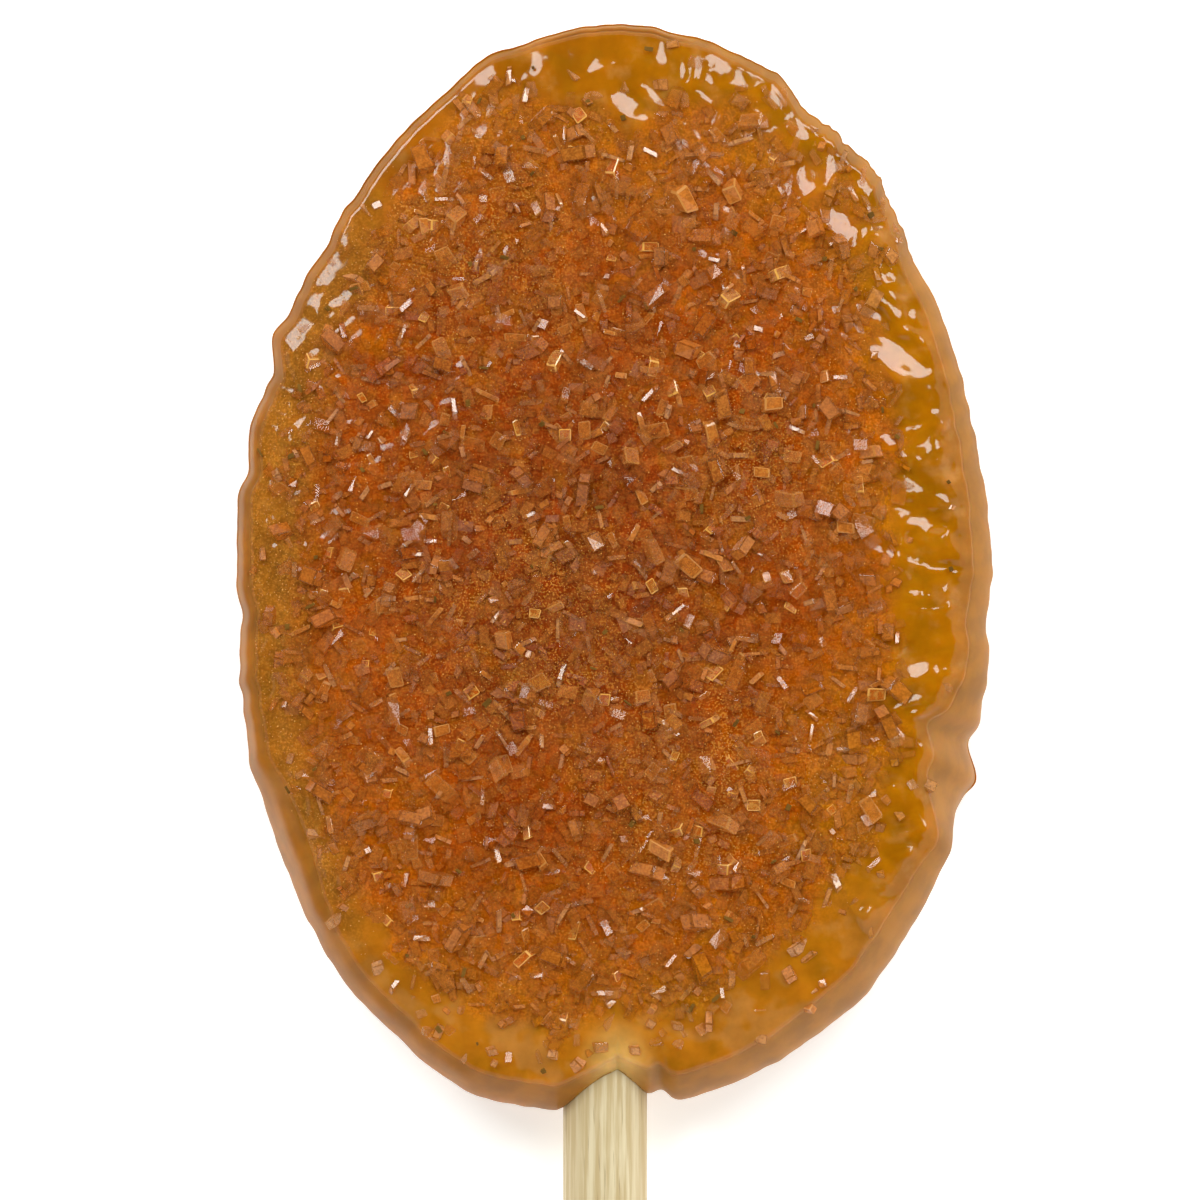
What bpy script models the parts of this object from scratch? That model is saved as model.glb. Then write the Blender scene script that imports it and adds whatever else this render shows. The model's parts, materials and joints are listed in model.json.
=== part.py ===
"""A hard candy drink stirrer: an oval amber candy crusted with sugar crystals, on a round wooden stick.

It lies on its flat back. +X runs across the candy, +Y along it away from the stick, and +Z up through
the crusted face. The origin is the middle of the candy's oval, on the surface that it lies on.
Sizes are in millimetres here, and meshes are made in metres.
"""

import math
import random

import bmesh
import bpy
from mathutils import Euler, Matrix, Vector, noise

MM = 0.001

# The candy's oval, and how thick it is.
CANDY_WIDTH = 37.2
CANDY_LENGTH = 53.4
CROWN_HEIGHT = 7.7
CREASE_HEIGHT = 6.5
DOME_POWER = 2.4

# The oval isn't a plain ellipse: each entry swells it (turns round the rim, share of the radius, phase).
OVAL_SWELL = 0.008
OVAL_WAVES = (
    (1, 0.0215, -99.0),
    (2, 0.0082, 106.0),
    (3, 0.0159, -86.0),
    (4, 0.0073, -133.0),
    (5, 0.0041, 122.0),
)

# Chips and beads of set syrup on the rim (angle in degrees, how far it stands out, reach in degrees).
RIM_BEADS = (
    (0.0, 0.14, 2.5),
    (7.0, 0.16, 2.6),
    (35.0, -0.28, 3.0),
    (47.0, 0.36, 3.2),
    (59.0, -0.30, 3.0),
    (65.0, 0.22, 3.0),
    (81.0, -0.16, 3.0),
    (110.0, 0.34, 4.0),
    (134.0, -0.15, 3.0),
    (142.0, -0.20, 3.4),
    (154.5, 0.30, 2.2),
    (158.5, -0.30, 1.8),
    (165.0, 0.18, 2.2),
    (169.0, -0.12, 1.6),
    (172.5, 0.20, 1.8),
    (185.0, -0.26, 2.6),
    (200.0, 0.24, 3.6),
    (235.0, -0.20, 4.0),
    (249.0, 0.20, 5.0),
    (277.4, -0.45, 1.7),
    (310.0, 0.18, 4.0),
    (333.5, -0.24, 1.8),
    (337.8, 0.48, 1.5),
    (341.0, -0.36, 1.6),
    (354.0, -0.14, 2.5),
)

# The rim's sloping shoulder below the crease (how far out, how far down, as shares of the slope's width).
RIM_SHOULDER = (
    (0.12, 0.10),
    (0.50, 0.55),
    (0.86, 1.15),
    (1.00, 1.85),
)
# The wall under it, down to the flat back (how far out, as a share of the slope's width, and height).
RIM_WALL = (
    (1.00, 1.60),
    (0.80, 0.40),
    (0.40, 0.0),
)
# The width of the slope, seen from above, and how it swings round the rim.
SLOPE_WIDTH = 0.95
SLOPE_SWING = 0.55
SLOPE_WIDEST_AT = -75.0
# Where the slope is broader or narrower still (angle in degrees, extra width, reach in degrees).
SLOPE_FACETS = (
    (211.0, 0.75, 9.0),
    (312.0, 0.25, 14.0),
    (330.0, -0.60, 3.5),
    (338.5, 1.50, 6.0),
)

# A rounded ridge of clear syrup stands inside the crease, highest on the sides without crystals.
RIDGE_HEIGHT = 0.26
RIDGE_SHARE = 0.94
RIDGE_REACH = 0.06
LUMP_DEPTH = 0.22
LUMP_SPAN = 4.2

# The stick, and the socket that the candy set round it.
STICK_DIAMETER = 4.2
STICK_LENGTH = 125.0
STICK_IN_CANDY = 30.0
STICK_X = -0.5
STICK_HEIGHT = 3.6
STICK_SIDES = 40
STICK_END_BEVEL = 0.3
SOCKET_GAP = 0.3
SOCKET_SIDES = 24
NECK_NOTCH_X = 0.1
NECK_NOTCH_DEPTH = 1.5
NECK_NOTCH_LEFT = 3.0
NECK_NOTCH_RIGHT = 2.7

# The crystals: the largest ones are solids here, spread over the crusted field.
CRYSTAL_COUNT = 196
CRYSTAL_SEED = 7
CRYSTAL_LENGTH = (0.85, 1.45)
CRYSTAL_BREADTH = (0.60, 0.80)
CRYSTAL_DEPTH = (0.50, 0.68)
CRYSTAL_TILT = 32.0
CRYSTAL_SHEAR = math.radians(13.0)
CRYSTAL_PROUD = 0.16
CRYSTAL_JITTER = 1.2
GOLDEN_ANGLE = math.pi * (3.0 - math.sqrt(5.0))
# How far inside the rim the crystals stop (angle in degrees, distance).
FIELD_INSETS = (
    (0.0, 5.3),
    (30.0, 3.4),
    (50.0, 1.3),
    (68.0, 2.4),
    (90.0, 4.9),
    (116.0, 1.5),
    (150.0, 2.3),
    (185.0, 2.3),
    (225.0, 3.3),
    (270.0, 4.3),
    (305.0, 4.9),
    (335.0, 4.2),
)

# Mesh fineness.
FACE_CELLS = 36

AMBER = (0.46, 0.12, 0.012, 1.0)
BIRCH = (0.72, 0.60, 0.42, 1.0)


def clear_scene():
    """Removes everything that the scene started with."""
    for obj in list(bpy.data.objects):
        bpy.data.objects.remove(obj)


def make_material(name, colour, roughness):
    """A plain Principled material with no metal in it."""
    material = bpy.data.materials.new(name)
    material.use_nodes = True
    shader = material.node_tree.nodes["Principled BSDF"]
    shader.inputs["Base Color"].default_value = colour
    shader.inputs["Roughness"].default_value = roughness
    shader.inputs["Metallic"].default_value = 0.0
    return material


def turn_between(turn, angle_deg):
    """The signed angle in degrees from angle_deg to turn, the short way round."""
    return (math.degrees(turn) - angle_deg + 180.0) % 360.0 - 180.0


def bead(turn, angle_deg, reach_deg):
    """1 at a place on the rim, falling smoothly to 0 about two reaches away."""
    return math.exp(-((turn_between(turn, angle_deg) / reach_deg) ** 2))


def neck_notch(x):
    """How far the rim draws back over the stick, at a distance across the candy."""
    off = x - NECK_NOTCH_X
    reach = NECK_NOTCH_RIGHT if off > 0 else NECK_NOTCH_LEFT
    return NECK_NOTCH_DEPTH * max(0.0, 1.0 - abs(off) / reach)


def rim_point(turn):
    """The widest point of the rim at an angle, as x and y in millimetres."""
    swell = 1.0 + OVAL_SWELL
    for turns, share, phase in OVAL_WAVES:
        swell += share * math.cos(turns * turn - math.radians(phase))
    x = CANDY_WIDTH / 2 * math.cos(turn) * swell
    y = CANDY_LENGTH / 2 * math.sin(turn) * swell
    out = sum(depth * bead(turn, angle, reach) for angle, depth, reach in RIM_BEADS)
    reach = math.hypot(x, y)
    x, y = x * (1 + out / reach), y * (1 + out / reach)
    return Vector((x, y + neck_notch(x))) if y < 0 else Vector((x, y))


def slope_width(turn):
    """The width of the sloping side at an angle."""
    facets = sum(extra * bead(turn, angle, reach) for angle, extra, reach in SLOPE_FACETS)
    return SLOPE_WIDTH + SLOPE_SWING * math.cos(turn - math.radians(SLOPE_WIDEST_AT)) + facets


def rim_section(turn):
    """The rim's section at an angle: each ring's share of the slope's width, and its height."""
    drop = slope_width(turn)
    return [(out, CREASE_HEIGHT - down * drop) for out, down in RIM_SHOULDER] + list(RIM_WALL)


def inside_rim(turn, inset):
    """A point this far inside the rim, towards the middle of the candy."""
    point = rim_point(turn)
    return point * (1.0 - inset / point.length)


def field_inset(turn):
    """How far inside the rim the crystals stop at an angle, eased between the listed places."""
    angle = math.degrees(turn) % 360.0
    places = FIELD_INSETS + ((FIELD_INSETS[0][0] + 360.0, FIELD_INSETS[0][1]),)
    for (start, first), (end, last) in zip(places, places[1:]):
        if start <= angle <= end:
            share = (angle - start) / (end - start)
            ease = share * share * (3.0 - 2.0 * share)
            return first + (last - first) * ease
    return FIELD_INSETS[0][1]


def face_height(point, share, turn):
    """The height of the face at a point, a share of the way from the middle to the crease."""
    dome = (CROWN_HEIGHT - CREASE_HEIGHT) * (1.0 - share**DOME_POWER)
    bare = min(1.0, field_inset(turn) / 5.0)
    ridge = RIDGE_HEIGHT * bare * math.exp(-(((share - RIDGE_SHARE) / RIDGE_REACH) ** 2))
    lumps = LUMP_DEPTH * noise.noise(Vector((point.x, point.y, 0.0)) / LUMP_SPAN)
    return CREASE_HEIGHT + dome + ridge + lumps * (1.0 - share**8)


def disc_place(s, t):
    """Where a grid point of a square from -1 to 1 lands on a round disc, as its angle and radius."""
    radius = max(abs(s), abs(t))
    if radius == 0.0:
        return 0.0, 0.0
    if abs(s) >= abs(t):
        turn = math.pi / 4 * (t / s) + (math.pi if s < 0 else 0.0)
    else:
        turn = math.pi / 2 - math.pi / 4 * (s / t) + (math.pi if t < 0 else 0.0)
    return turn, radius


def face_point(turn, share):
    """A point of the bare face, a share of the way from the middle to the crease."""
    flat = inside_rim(turn, slope_width(turn)) * share
    return Vector((flat.x, flat.y, face_height(flat, share, turn)))


def turn_above(vert, turns):
    """The angle of the point that a newly drawn rim point came from."""
    neighbours = (edge.other_vert(vert) for edge in vert.link_edges)
    return next(turns[other] for other in neighbours if other in turns)


def candy_blank():
    """The bare candy: a grid laid over the face, drawn down the sloping side and closed by a flat back."""
    bm = bmesh.new()
    bmesh.ops.create_grid(bm, x_segments=FACE_CELLS, y_segments=FACE_CELLS, size=1.0)
    turns = {}
    for vert in bm.verts:
        turn, share = disc_place(vert.co.x, vert.co.y)
        turns[vert] = turn
        vert.co = face_point(turn, share) * MM
    edges = [edge for edge in bm.edges if edge.is_boundary]
    for ring_index in range(len(RIM_SHOULDER) + len(RIM_WALL)):
        drawn = bmesh.ops.extrude_edge_only(bm, edges=edges)["geom"]
        ring = [item for item in drawn if isinstance(item, bmesh.types.BMVert)]
        ring_turns = {vert: turn_above(vert, turns) for vert in ring}
        for vert, turn in ring_turns.items():
            out, height = rim_section(turn)[ring_index]
            flat = inside_rim(turn, slope_width(turn) * (1.0 - out))
            vert.co = Vector((flat.x, flat.y, height)) * MM
        turns.update(ring_turns)
        edges = [edge for edge in bm.edges if edge.is_boundary]
    bmesh.ops.contextual_create(bm, geom=edges)
    bmesh.ops.recalc_face_normals(bm, faces=bm.faces)
    mesh = bpy.data.meshes.new("candy")
    bm.to_mesh(mesh)
    bm.free()
    return bpy.data.objects.new("candy", mesh)


def crystal_places():
    """Each large crystal's place, turn and size, spread evenly over the field by the golden angle."""
    draw = random.Random(CRYSTAL_SEED)
    for index in range(CRYSTAL_COUNT):
        share = math.sqrt((index + 0.5) / CRYSTAL_COUNT)
        turn = index * GOLDEN_ANGLE + draw.uniform(-1.0, 1.0) * CRYSTAL_JITTER / (CRYSTAL_COUNT**0.5 * share)
        edge = inside_rim(turn, field_inset(turn))
        crease = inside_rim(turn, slope_width(turn))
        on_face = share * edge.length / crease.length
        size = Vector(draw.uniform(*span) for span in (CRYSTAL_LENGTH, CRYSTAL_BREADTH, CRYSTAL_DEPTH))
        tilt = [math.radians(draw.uniform(-CRYSTAL_TILT, CRYSTAL_TILT)) for _ in "xy"]
        yaw = draw.uniform(0.0, 2.0 * math.pi)
        centre = face_point(turn, on_face) + Vector((0.0, 0.0, CRYSTAL_PROUD))
        yield centre, Euler((tilt[0], tilt[1], yaw)), size


def add_crystal(mesh, centre, turned, size, collection):
    """One crystal, set in the face."""
    crystal = bpy.data.objects.new("crystal", mesh)
    crystal.matrix_world = Matrix.LocRotScale(centre * MM, turned, size * MM)
    collection.objects.link(crystal)


def crystal_mesh():
    """A unit crystal of sugar: a block that leans along its length, as sucrose grows."""
    bm = bmesh.new()
    bmesh.ops.create_cube(bm, size=1.0)
    lean = Matrix.Shear("XY", 4, (math.tan(CRYSTAL_SHEAR), 0.0))
    bmesh.ops.transform(bm, matrix=lean, verts=bm.verts)
    mesh = bpy.data.meshes.new("crystal")
    bm.to_mesh(mesh)
    bm.free()
    return mesh


def apply_modifiers(obj):
    """Makes the evaluated shape the object's own mesh."""
    bpy.context.view_layer.update()
    graph = bpy.context.evaluated_depsgraph_get()
    mesh = bpy.data.meshes.new_from_object(obj.evaluated_get(graph))
    obj.modifiers.clear()
    obj.data = mesh


def fuse_crystals(candy, parts):
    """Joins the large crystals to the candy by one union, and removes their objects."""
    crystals = bpy.data.collections.new("crystals")
    parts.children.link(crystals)
    block = crystal_mesh()
    for centre, turned, size in crystal_places():
        add_crystal(block, centre, turned, size, crystals)
    union = candy.modifiers.new("crust", "BOOLEAN")
    union.operation = "UNION"
    union.solver = "MANIFOLD"
    union.operand_type = "COLLECTION"
    union.collection = crystals
    apply_modifiers(candy)
    for crystal in list(crystals.objects):
        bpy.data.objects.remove(crystal)
    bpy.data.collections.remove(crystals)


def add_rod(name, diameter, length, top_y, sides, collection):
    """A round rod that runs from top_y towards -Y along the stick's axis."""
    bpy.ops.mesh.primitive_cylinder_add(
        vertices=sides,
        radius=diameter / 2 * MM,
        depth=length * MM,
        location=(STICK_X * MM, (top_y - length / 2) * MM, STICK_HEIGHT * MM),
        rotation=(math.pi / 2, 0.0, 0.0),
    )
    rod = bpy.context.active_object
    rod.name = name
    for home in list(rod.users_collection):
        home.objects.unlink(rod)
    collection.objects.link(rod)
    return rod


def add_stick(collection, material):
    """The wooden stick, with its edges eased at both ends."""
    top_y = STICK_IN_CANDY - CANDY_LENGTH / 2
    stick = add_rod("stick", STICK_DIAMETER, STICK_LENGTH, top_y, STICK_SIDES, collection)
    bevel = stick.modifiers.new("eased_ends", "BEVEL")
    bevel.width = STICK_END_BEVEL * MM
    bevel.segments = 2
    bevel.limit_method = "ANGLE"
    bevel.angle_limit = math.radians(60.0)
    stick.data.materials.append(material)
    stick.data.shade_smooth()
    stick.data.set_sharp_from_angle(angle=math.radians(50.0))
    return stick


def cut_socket(candy, cutters):
    """The blind socket that the stick sits in."""
    top_y = STICK_IN_CANDY - CANDY_LENGTH / 2 + SOCKET_GAP
    cutter = add_rod(
        "socket_cutter",
        STICK_DIAMETER + 2 * SOCKET_GAP,
        STICK_IN_CANDY + CANDY_LENGTH / 2,
        top_y,
        SOCKET_SIDES,
        cutters,
    )
    cutter.hide_render = True
    cutter.display_type = "WIRE"
    cut = candy.modifiers.new("socket", "BOOLEAN")
    cut.operation = "DIFFERENCE"
    cut.solver = "MANIFOLD"
    cut.object = cutter


def main():
    """Builds the stirrer."""
    clear_scene()
    parts = bpy.data.collections.new("candy_stirrer")
    cutters = bpy.data.collections.new("cutters")
    bpy.context.scene.collection.children.link(parts)
    bpy.context.scene.collection.children.link(cutters)
    candy = candy_blank()
    parts.objects.link(candy)
    fuse_crystals(candy, parts)
    cut_socket(candy, cutters)
    candy.data.materials.clear()
    candy.data.materials.append(make_material("amber_candy", AMBER, 0.18))
    add_stick(parts, make_material("birch", BIRCH, 0.6))


main()
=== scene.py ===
"""The looks of the hard candy stirrer: a glossy amber candy crusted with sugar, on a birch stick.

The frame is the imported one: +X runs across the candy, +Y along it away from the stick and +Z up through
the crusted face, with z = 0 where the candy lies. Sizes are in millimetres, and meshes are in metres.
"""

import json
import logging
import math
import random
from dataclasses import dataclass, field
from enum import Enum
from typing import Any, Iterator

import bmesh
import bpy
import numpy as np
from mathutils import Euler, Matrix, Vector, noise

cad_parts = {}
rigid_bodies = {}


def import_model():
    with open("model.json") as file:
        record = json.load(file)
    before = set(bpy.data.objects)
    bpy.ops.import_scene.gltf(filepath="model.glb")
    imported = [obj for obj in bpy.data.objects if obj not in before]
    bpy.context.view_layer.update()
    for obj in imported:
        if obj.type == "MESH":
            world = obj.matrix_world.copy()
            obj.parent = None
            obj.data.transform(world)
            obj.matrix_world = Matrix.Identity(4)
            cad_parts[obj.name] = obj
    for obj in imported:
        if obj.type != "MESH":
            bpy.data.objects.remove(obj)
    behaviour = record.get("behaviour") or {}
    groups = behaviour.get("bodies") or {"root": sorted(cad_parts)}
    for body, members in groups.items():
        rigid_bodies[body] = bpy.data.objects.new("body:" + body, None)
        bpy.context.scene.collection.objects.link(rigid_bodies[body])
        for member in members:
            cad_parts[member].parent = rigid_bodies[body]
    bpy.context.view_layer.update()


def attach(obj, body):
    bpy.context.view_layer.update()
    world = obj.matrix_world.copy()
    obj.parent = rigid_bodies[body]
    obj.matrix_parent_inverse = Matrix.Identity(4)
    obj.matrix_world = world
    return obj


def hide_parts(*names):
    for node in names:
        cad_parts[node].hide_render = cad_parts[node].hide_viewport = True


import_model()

MM = 0.001
BODY = "root"
GOLDEN_ANGLE = math.pi * (3.0 - math.sqrt(5.0))
LOG = logging.getLogger("candy_stirrer")

Colour = tuple[float, float, float, float]
Span = tuple[float, float]
Triples = tuple[tuple[float, float, float], ...]


class Slot(Enum):
    """The record's material slots."""

    AMBER = "amber_candy"
    CRYSTAL = "sugar_crystal"
    HERB = "herb_fleck"
    BIRCH = "birch"


def seen(red: float, green: float, blue: float) -> Colour:
    """A colour as it is seen on a screen, made linear.

    Args:
        red: From 0 to 255.
        green: From 0 to 255.
        blue: From 0 to 255.

    Returns:
        The linear colour with an alpha of 1.
    """

    def linear(level: float) -> float:
        """One channel made linear."""
        share = level / 255.0
        return share / 12.92 if share <= 0.04045 else ((share + 0.055) / 1.055) ** 2.4

    return (linear(red), linear(green), linear(blue), 1.0)


def smooth(low: float, high: float, value: np.ndarray) -> np.ndarray:
    """A step that eases from 0 at low to 1 at high.

    Args:
        low: Where the step starts.
        high: Where it ends.
        value: The values to ease.

    Returns:
        The eased values.
    """
    share = np.clip((value - low) / (high - low), 0.0, 1.0)
    return share * share * (3.0 - 2.0 * share)


def between(value: np.ndarray, start: float, full: float, wane: float, end: float) -> np.ndarray:
    """1 from full to wane, easing to 0 at start and at end."""
    return smooth(start, full, value) * (1.0 - smooth(wane, end, value))


def wander(points: np.ndarray, span: float, shift: float = 0.0) -> np.ndarray:
    """Smooth noise from about -1 to 1 at each point.

    Args:
        points: Rows of two or three coordinates in millimetres.
        span: The size of one swell of the noise.
        shift: Moves the noise, so that two uses differ.

    Returns:
        One value for each row.
    """
    padded = np.zeros((len(points), 3))
    padded[:, : points.shape[1]] = points / span
    padded[:, 2] += shift
    return np.array([noise.noise(Vector(row)) for row in padded])


@dataclass
class NodeTree:
    """A node tree under construction."""

    tree: bpy.types.NodeTree

    def add(self, kind: str, inputs: dict[Any, Any] | None = None, **settings: Any) -> bpy.types.Node:
        """Adds a node.

        Args:
            kind: The node's type.
            inputs: A value or another node's output for each input, by name or index.
            **settings: The node's own properties.

        Returns:
            The new node.
        """
        node = self.tree.nodes.new(kind)
        for name, value in settings.items():
            setattr(node, name, value)
        self.fill(node, inputs or {})
        return node

    def fill(self, node: bpy.types.Node, inputs: dict[Any, Any]) -> None:
        """Feeds several of a node's sockets, by name or index."""
        for key, value in inputs.items():
            self.feed(node.inputs[key], value)

    def feed(self, socket: bpy.types.NodeSocket, value: Any) -> None:
        """Links an output to a socket, or sets the socket's own value."""
        if isinstance(value, bpy.types.NodeSocket):
            self.tree.links.new(value, socket)
        else:
            socket.default_value = value

    def math(self, operation: str, *values: Any, clamp: bool = False) -> bpy.types.NodeSocket:
        """A Math node's output, from values or outputs."""
        node = self.add("ShaderNodeMath", dict(enumerate(values)), operation=operation, use_clamp=clamp)
        return node.outputs[0]

    def mix(self, share: Any, first: Any, second: Any, blend: str = "MIX") -> bpy.types.NodeSocket:
        """Two colours mixed by a share, as an output."""
        node = self.add("ShaderNodeMix", {0: share, 6: first, 7: second}, data_type="RGBA", blend_type=blend)
        return node.outputs[2]

    def shade(self, colour: Any, level: Any) -> bpy.types.NodeSocket:
        """A colour made lighter or darker by a level, as an output."""
        grey = self.add("ShaderNodeCombineColor", {0: level, 1: level, 2: level}).outputs[0]
        return self.mix(1.0, colour, grey, "MULTIPLY")

    def ease(self, value: Any, low: float, high: float, to: Span = (0.0, 1.0)) -> bpy.types.NodeSocket:
        """A value mapped smoothly from low..high to another span, as an output."""
        node = self.add(
            "ShaderNodeMapRange",
            {0: value, 1: low, 2: high, 3: to[0], 4: to[1]},
            interpolation_type="SMOOTHSTEP",
        )
        return node.outputs[0]

    def grain(self, place: Any, size_mm: float, detail: float = 2.0) -> bpy.types.NodeSocket:
        """Noise of a given size in millimetres on a place in metres, as an output from 0 to 1."""
        node = self.add(
            "ShaderNodeTexNoise",
            {"Vector": place, "Scale": 1.0 / (size_mm * MM), "Detail": detail, "Roughness": 0.55},
        )
        return node.outputs[0]


def new_shader(name: str) -> tuple[bpy.types.Material, NodeTree, bpy.types.Node]:
    """A material with a Principled BSDF.

    Args:
        name: The material's name.

    Returns:
        The material, its tree and the Principled BSDF.
    """
    material = bpy.data.materials.new(name)
    material.use_nodes = True
    return material, NodeTree(material.node_tree), material.node_tree.nodes["Principled BSDF"]


def new_group(name: str, kind: str, inputs: dict[str, Any], outputs: dict[str, str]) -> NodeTree:
    """An empty node group with named sockets.

    Args:
        name: The group's name.
        kind: The kind of tree.
        inputs: The socket type, or the type and the starting value, of each input.
        outputs: The socket type of each output.

    Returns:
        The group's tree.
    """
    tree = bpy.data.node_groups.new(name, kind)
    for label, wanted in inputs.items():
        socket_type, value = wanted if isinstance(wanted, tuple) else (wanted, None)
        socket = tree.interface.new_socket(label, in_out="INPUT", socket_type=socket_type)
        if value is not None:
            socket.default_value = value
    for label, socket_type in outputs.items():
        tree.interface.new_socket(label, in_out="OUTPUT", socket_type=socket_type)
    return NodeTree(tree)


def object_place(nodes: NodeTree) -> bpy.types.NodeSocket:
    """The place on the piece in its own frame, as an output."""
    return nodes.add("ShaderNodeTexCoord").outputs["Object"]


def read(nodes: NodeTree, name: str) -> bpy.types.NodeSocket:
    """A piece's own attribute, as an output."""
    return nodes.add("ShaderNodeAttribute", attribute_name=name).outputs["Fac"]


@dataclass(frozen=True)
class Patches:
    """Soft patches of noise: their size and detail, the noise that they run between, and their strength."""

    size: float
    detail: float
    start: float
    full: float
    strength: Span = (0.0, 1.0)

    def over(self, nodes: NodeTree, place: Any) -> bpy.types.NodeSocket:
        """The patches at a place, as an output."""
        return nodes.ease(nodes.grain(place, self.size, self.detail), self.start, self.full, self.strength)


@dataclass(frozen=True)
class AmberTone:
    """How boiled sugar darkens from its thin edge to its thick middle; the lighter edge is partly a painted
    glow of light coming through the thin candy.
    """

    half_width: float = 18.6
    half_length: float = 26.7
    darkest: Span = (-3.0, 1.6)
    drift: float = 0.7
    drift_size: float = 6.0
    upper_from: Span = (0.35, 0.95)
    lower_from: Span = (-0.98, -0.68)
    end_share: float = 0.6
    # The stops lighten towards the edge: the thin candy's own colour, and partly a painted glow of light
    # through it.
    stops: tuple[tuple[float, Colour], ...] = (
        (0.22, seen(145, 59, 15)),
        (0.55, seen(162, 69, 8)),
        (0.82, seen(178, 89, 6)),
        (1.0, seen(186, 114, 12)),
    )
    top: Colour = seen(184, 112, 26)
    bottom: Colour = seen(192, 117, 23)

    def group(self) -> bpy.types.NodeTree:
        """The node group, which gives the candy's colour at a place."""
        made = bpy.data.node_groups.get("amber_tone")
        if made:
            return made
        nodes = new_group(
            "amber_tone",
            "ShaderNodeTree",
            {"Place": "NodeSocketVector"},
            {"Colour": "NodeSocketColor"},
        )
        place = nodes.add("NodeGroupInput").outputs["Place"]
        centred = nodes.add(
            "ShaderNodeMapping",
            {"Vector": place, "Location": (-self.darkest[0] * MM, -self.darkest[1] * MM, 0.0)},
        )
        across = nodes.add("ShaderNodeSeparateXYZ", {0: centred.outputs[0]})
        x = nodes.math("DIVIDE", across.outputs[0], self.half_width * MM)
        y = nodes.math("DIVIDE", across.outputs[1], self.half_length * MM)
        squares = nodes.math("ADD", nodes.math("POWER", x, 2.0), nodes.math("POWER", y, 2.0))
        share = nodes.math("SQRT", squares)
        cloud = nodes.math("SUBTRACT", nodes.grain(place, self.drift_size, 3.0), 0.5)
        drift = nodes.math("MULTIPLY", cloud, self.drift)
        ramp = nodes.add("ShaderNodeValToRGB", {0: nodes.math("ADD", share, drift)})
        elements = ramp.color_ramp.elements
        while len(elements) < len(self.stops):
            elements.new(0.5)
        for element, (position, colour) in zip(elements, self.stops):
            element.position = position
            element.color = colour
        drifted = nodes.math("ADD", y, drift)
        upper = nodes.ease(drifted, *self.upper_from, (0.0, self.end_share))
        colour = nodes.mix(upper, ramp.outputs[0], self.top)
        lower = nodes.ease(drifted, *self.lower_from, (self.end_share, 0.0))
        nodes.add("NodeGroupOutput", {"Colour": nodes.mix(lower, colour, self.bottom)})
        return nodes.tree


def amber_colour(nodes: NodeTree, place: bpy.types.NodeSocket) -> bpy.types.NodeSocket:
    """The candy's colour at a place, as an output."""
    return nodes.add("ShaderNodeGroup", {"Place": place}, node_tree=AmberTone().group()).outputs["Colour"]


@dataclass(frozen=True)
class CrustGrain:
    """The fine grain of crushed sugar and spice, which runs over the crust and its crystals alike."""

    gold: Colour = seen(206, 140, 56)
    fine: float = 0.11
    coarse: float = 0.3
    shaded_from: Span = (0.72, 1.28)
    shade: Span = (0.8, 1.3)
    gilt_from: Span = (0.53, 0.64)
    gilding: float = 0.78

    def group(self) -> bpy.types.NodeTree:
        """The node group, which lays the grain over a colour."""
        made = bpy.data.node_groups.get("crust_grain")
        if made:
            return made
        nodes = new_group(
            "crust_grain",
            "ShaderNodeTree",
            {"Colour": "NodeSocketColor", "Place": "NodeSocketVector", "Dusty": "NodeSocketFloat"},
            {"Colour": "NodeSocketColor"},
        )
        given = nodes.add("NodeGroupInput").outputs
        fine = nodes.grain(given["Place"], self.fine, 1.0)
        coarse = nodes.grain(given["Place"], self.coarse, 2.0)
        level = nodes.ease(nodes.math("ADD", fine, coarse), *self.shaded_from, self.shade)
        shaded = nodes.shade(given["Colour"], level)
        specks = nodes.math("MULTIPLY", nodes.ease(fine, *self.gilt_from), given["Dusty"])
        gilt = nodes.mix(nodes.math("MULTIPLY", specks, self.gilding), shaded, self.gold)
        nodes.add("NodeGroupOutput", {"Colour": gilt})
        return nodes.tree

    def over(
        self, nodes: NodeTree, colour: Any, place: bpy.types.NodeSocket, dusty: Any
    ) -> bpy.types.NodeSocket:
        """The colour with the grain over it, as an output.

        Args:
            nodes: The material's tree.
            colour: What lies under the grain.
            place: The place that it reads.
            dusty: How much golden dust there is, from 0 to 1.

        Returns:
            The group's colour.
        """
        inputs = {"Colour": colour, "Place": place, "Dusty": dusty}
        return nodes.add("ShaderNodeGroup", inputs, node_tree=self.group()).outputs["Colour"]


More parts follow.
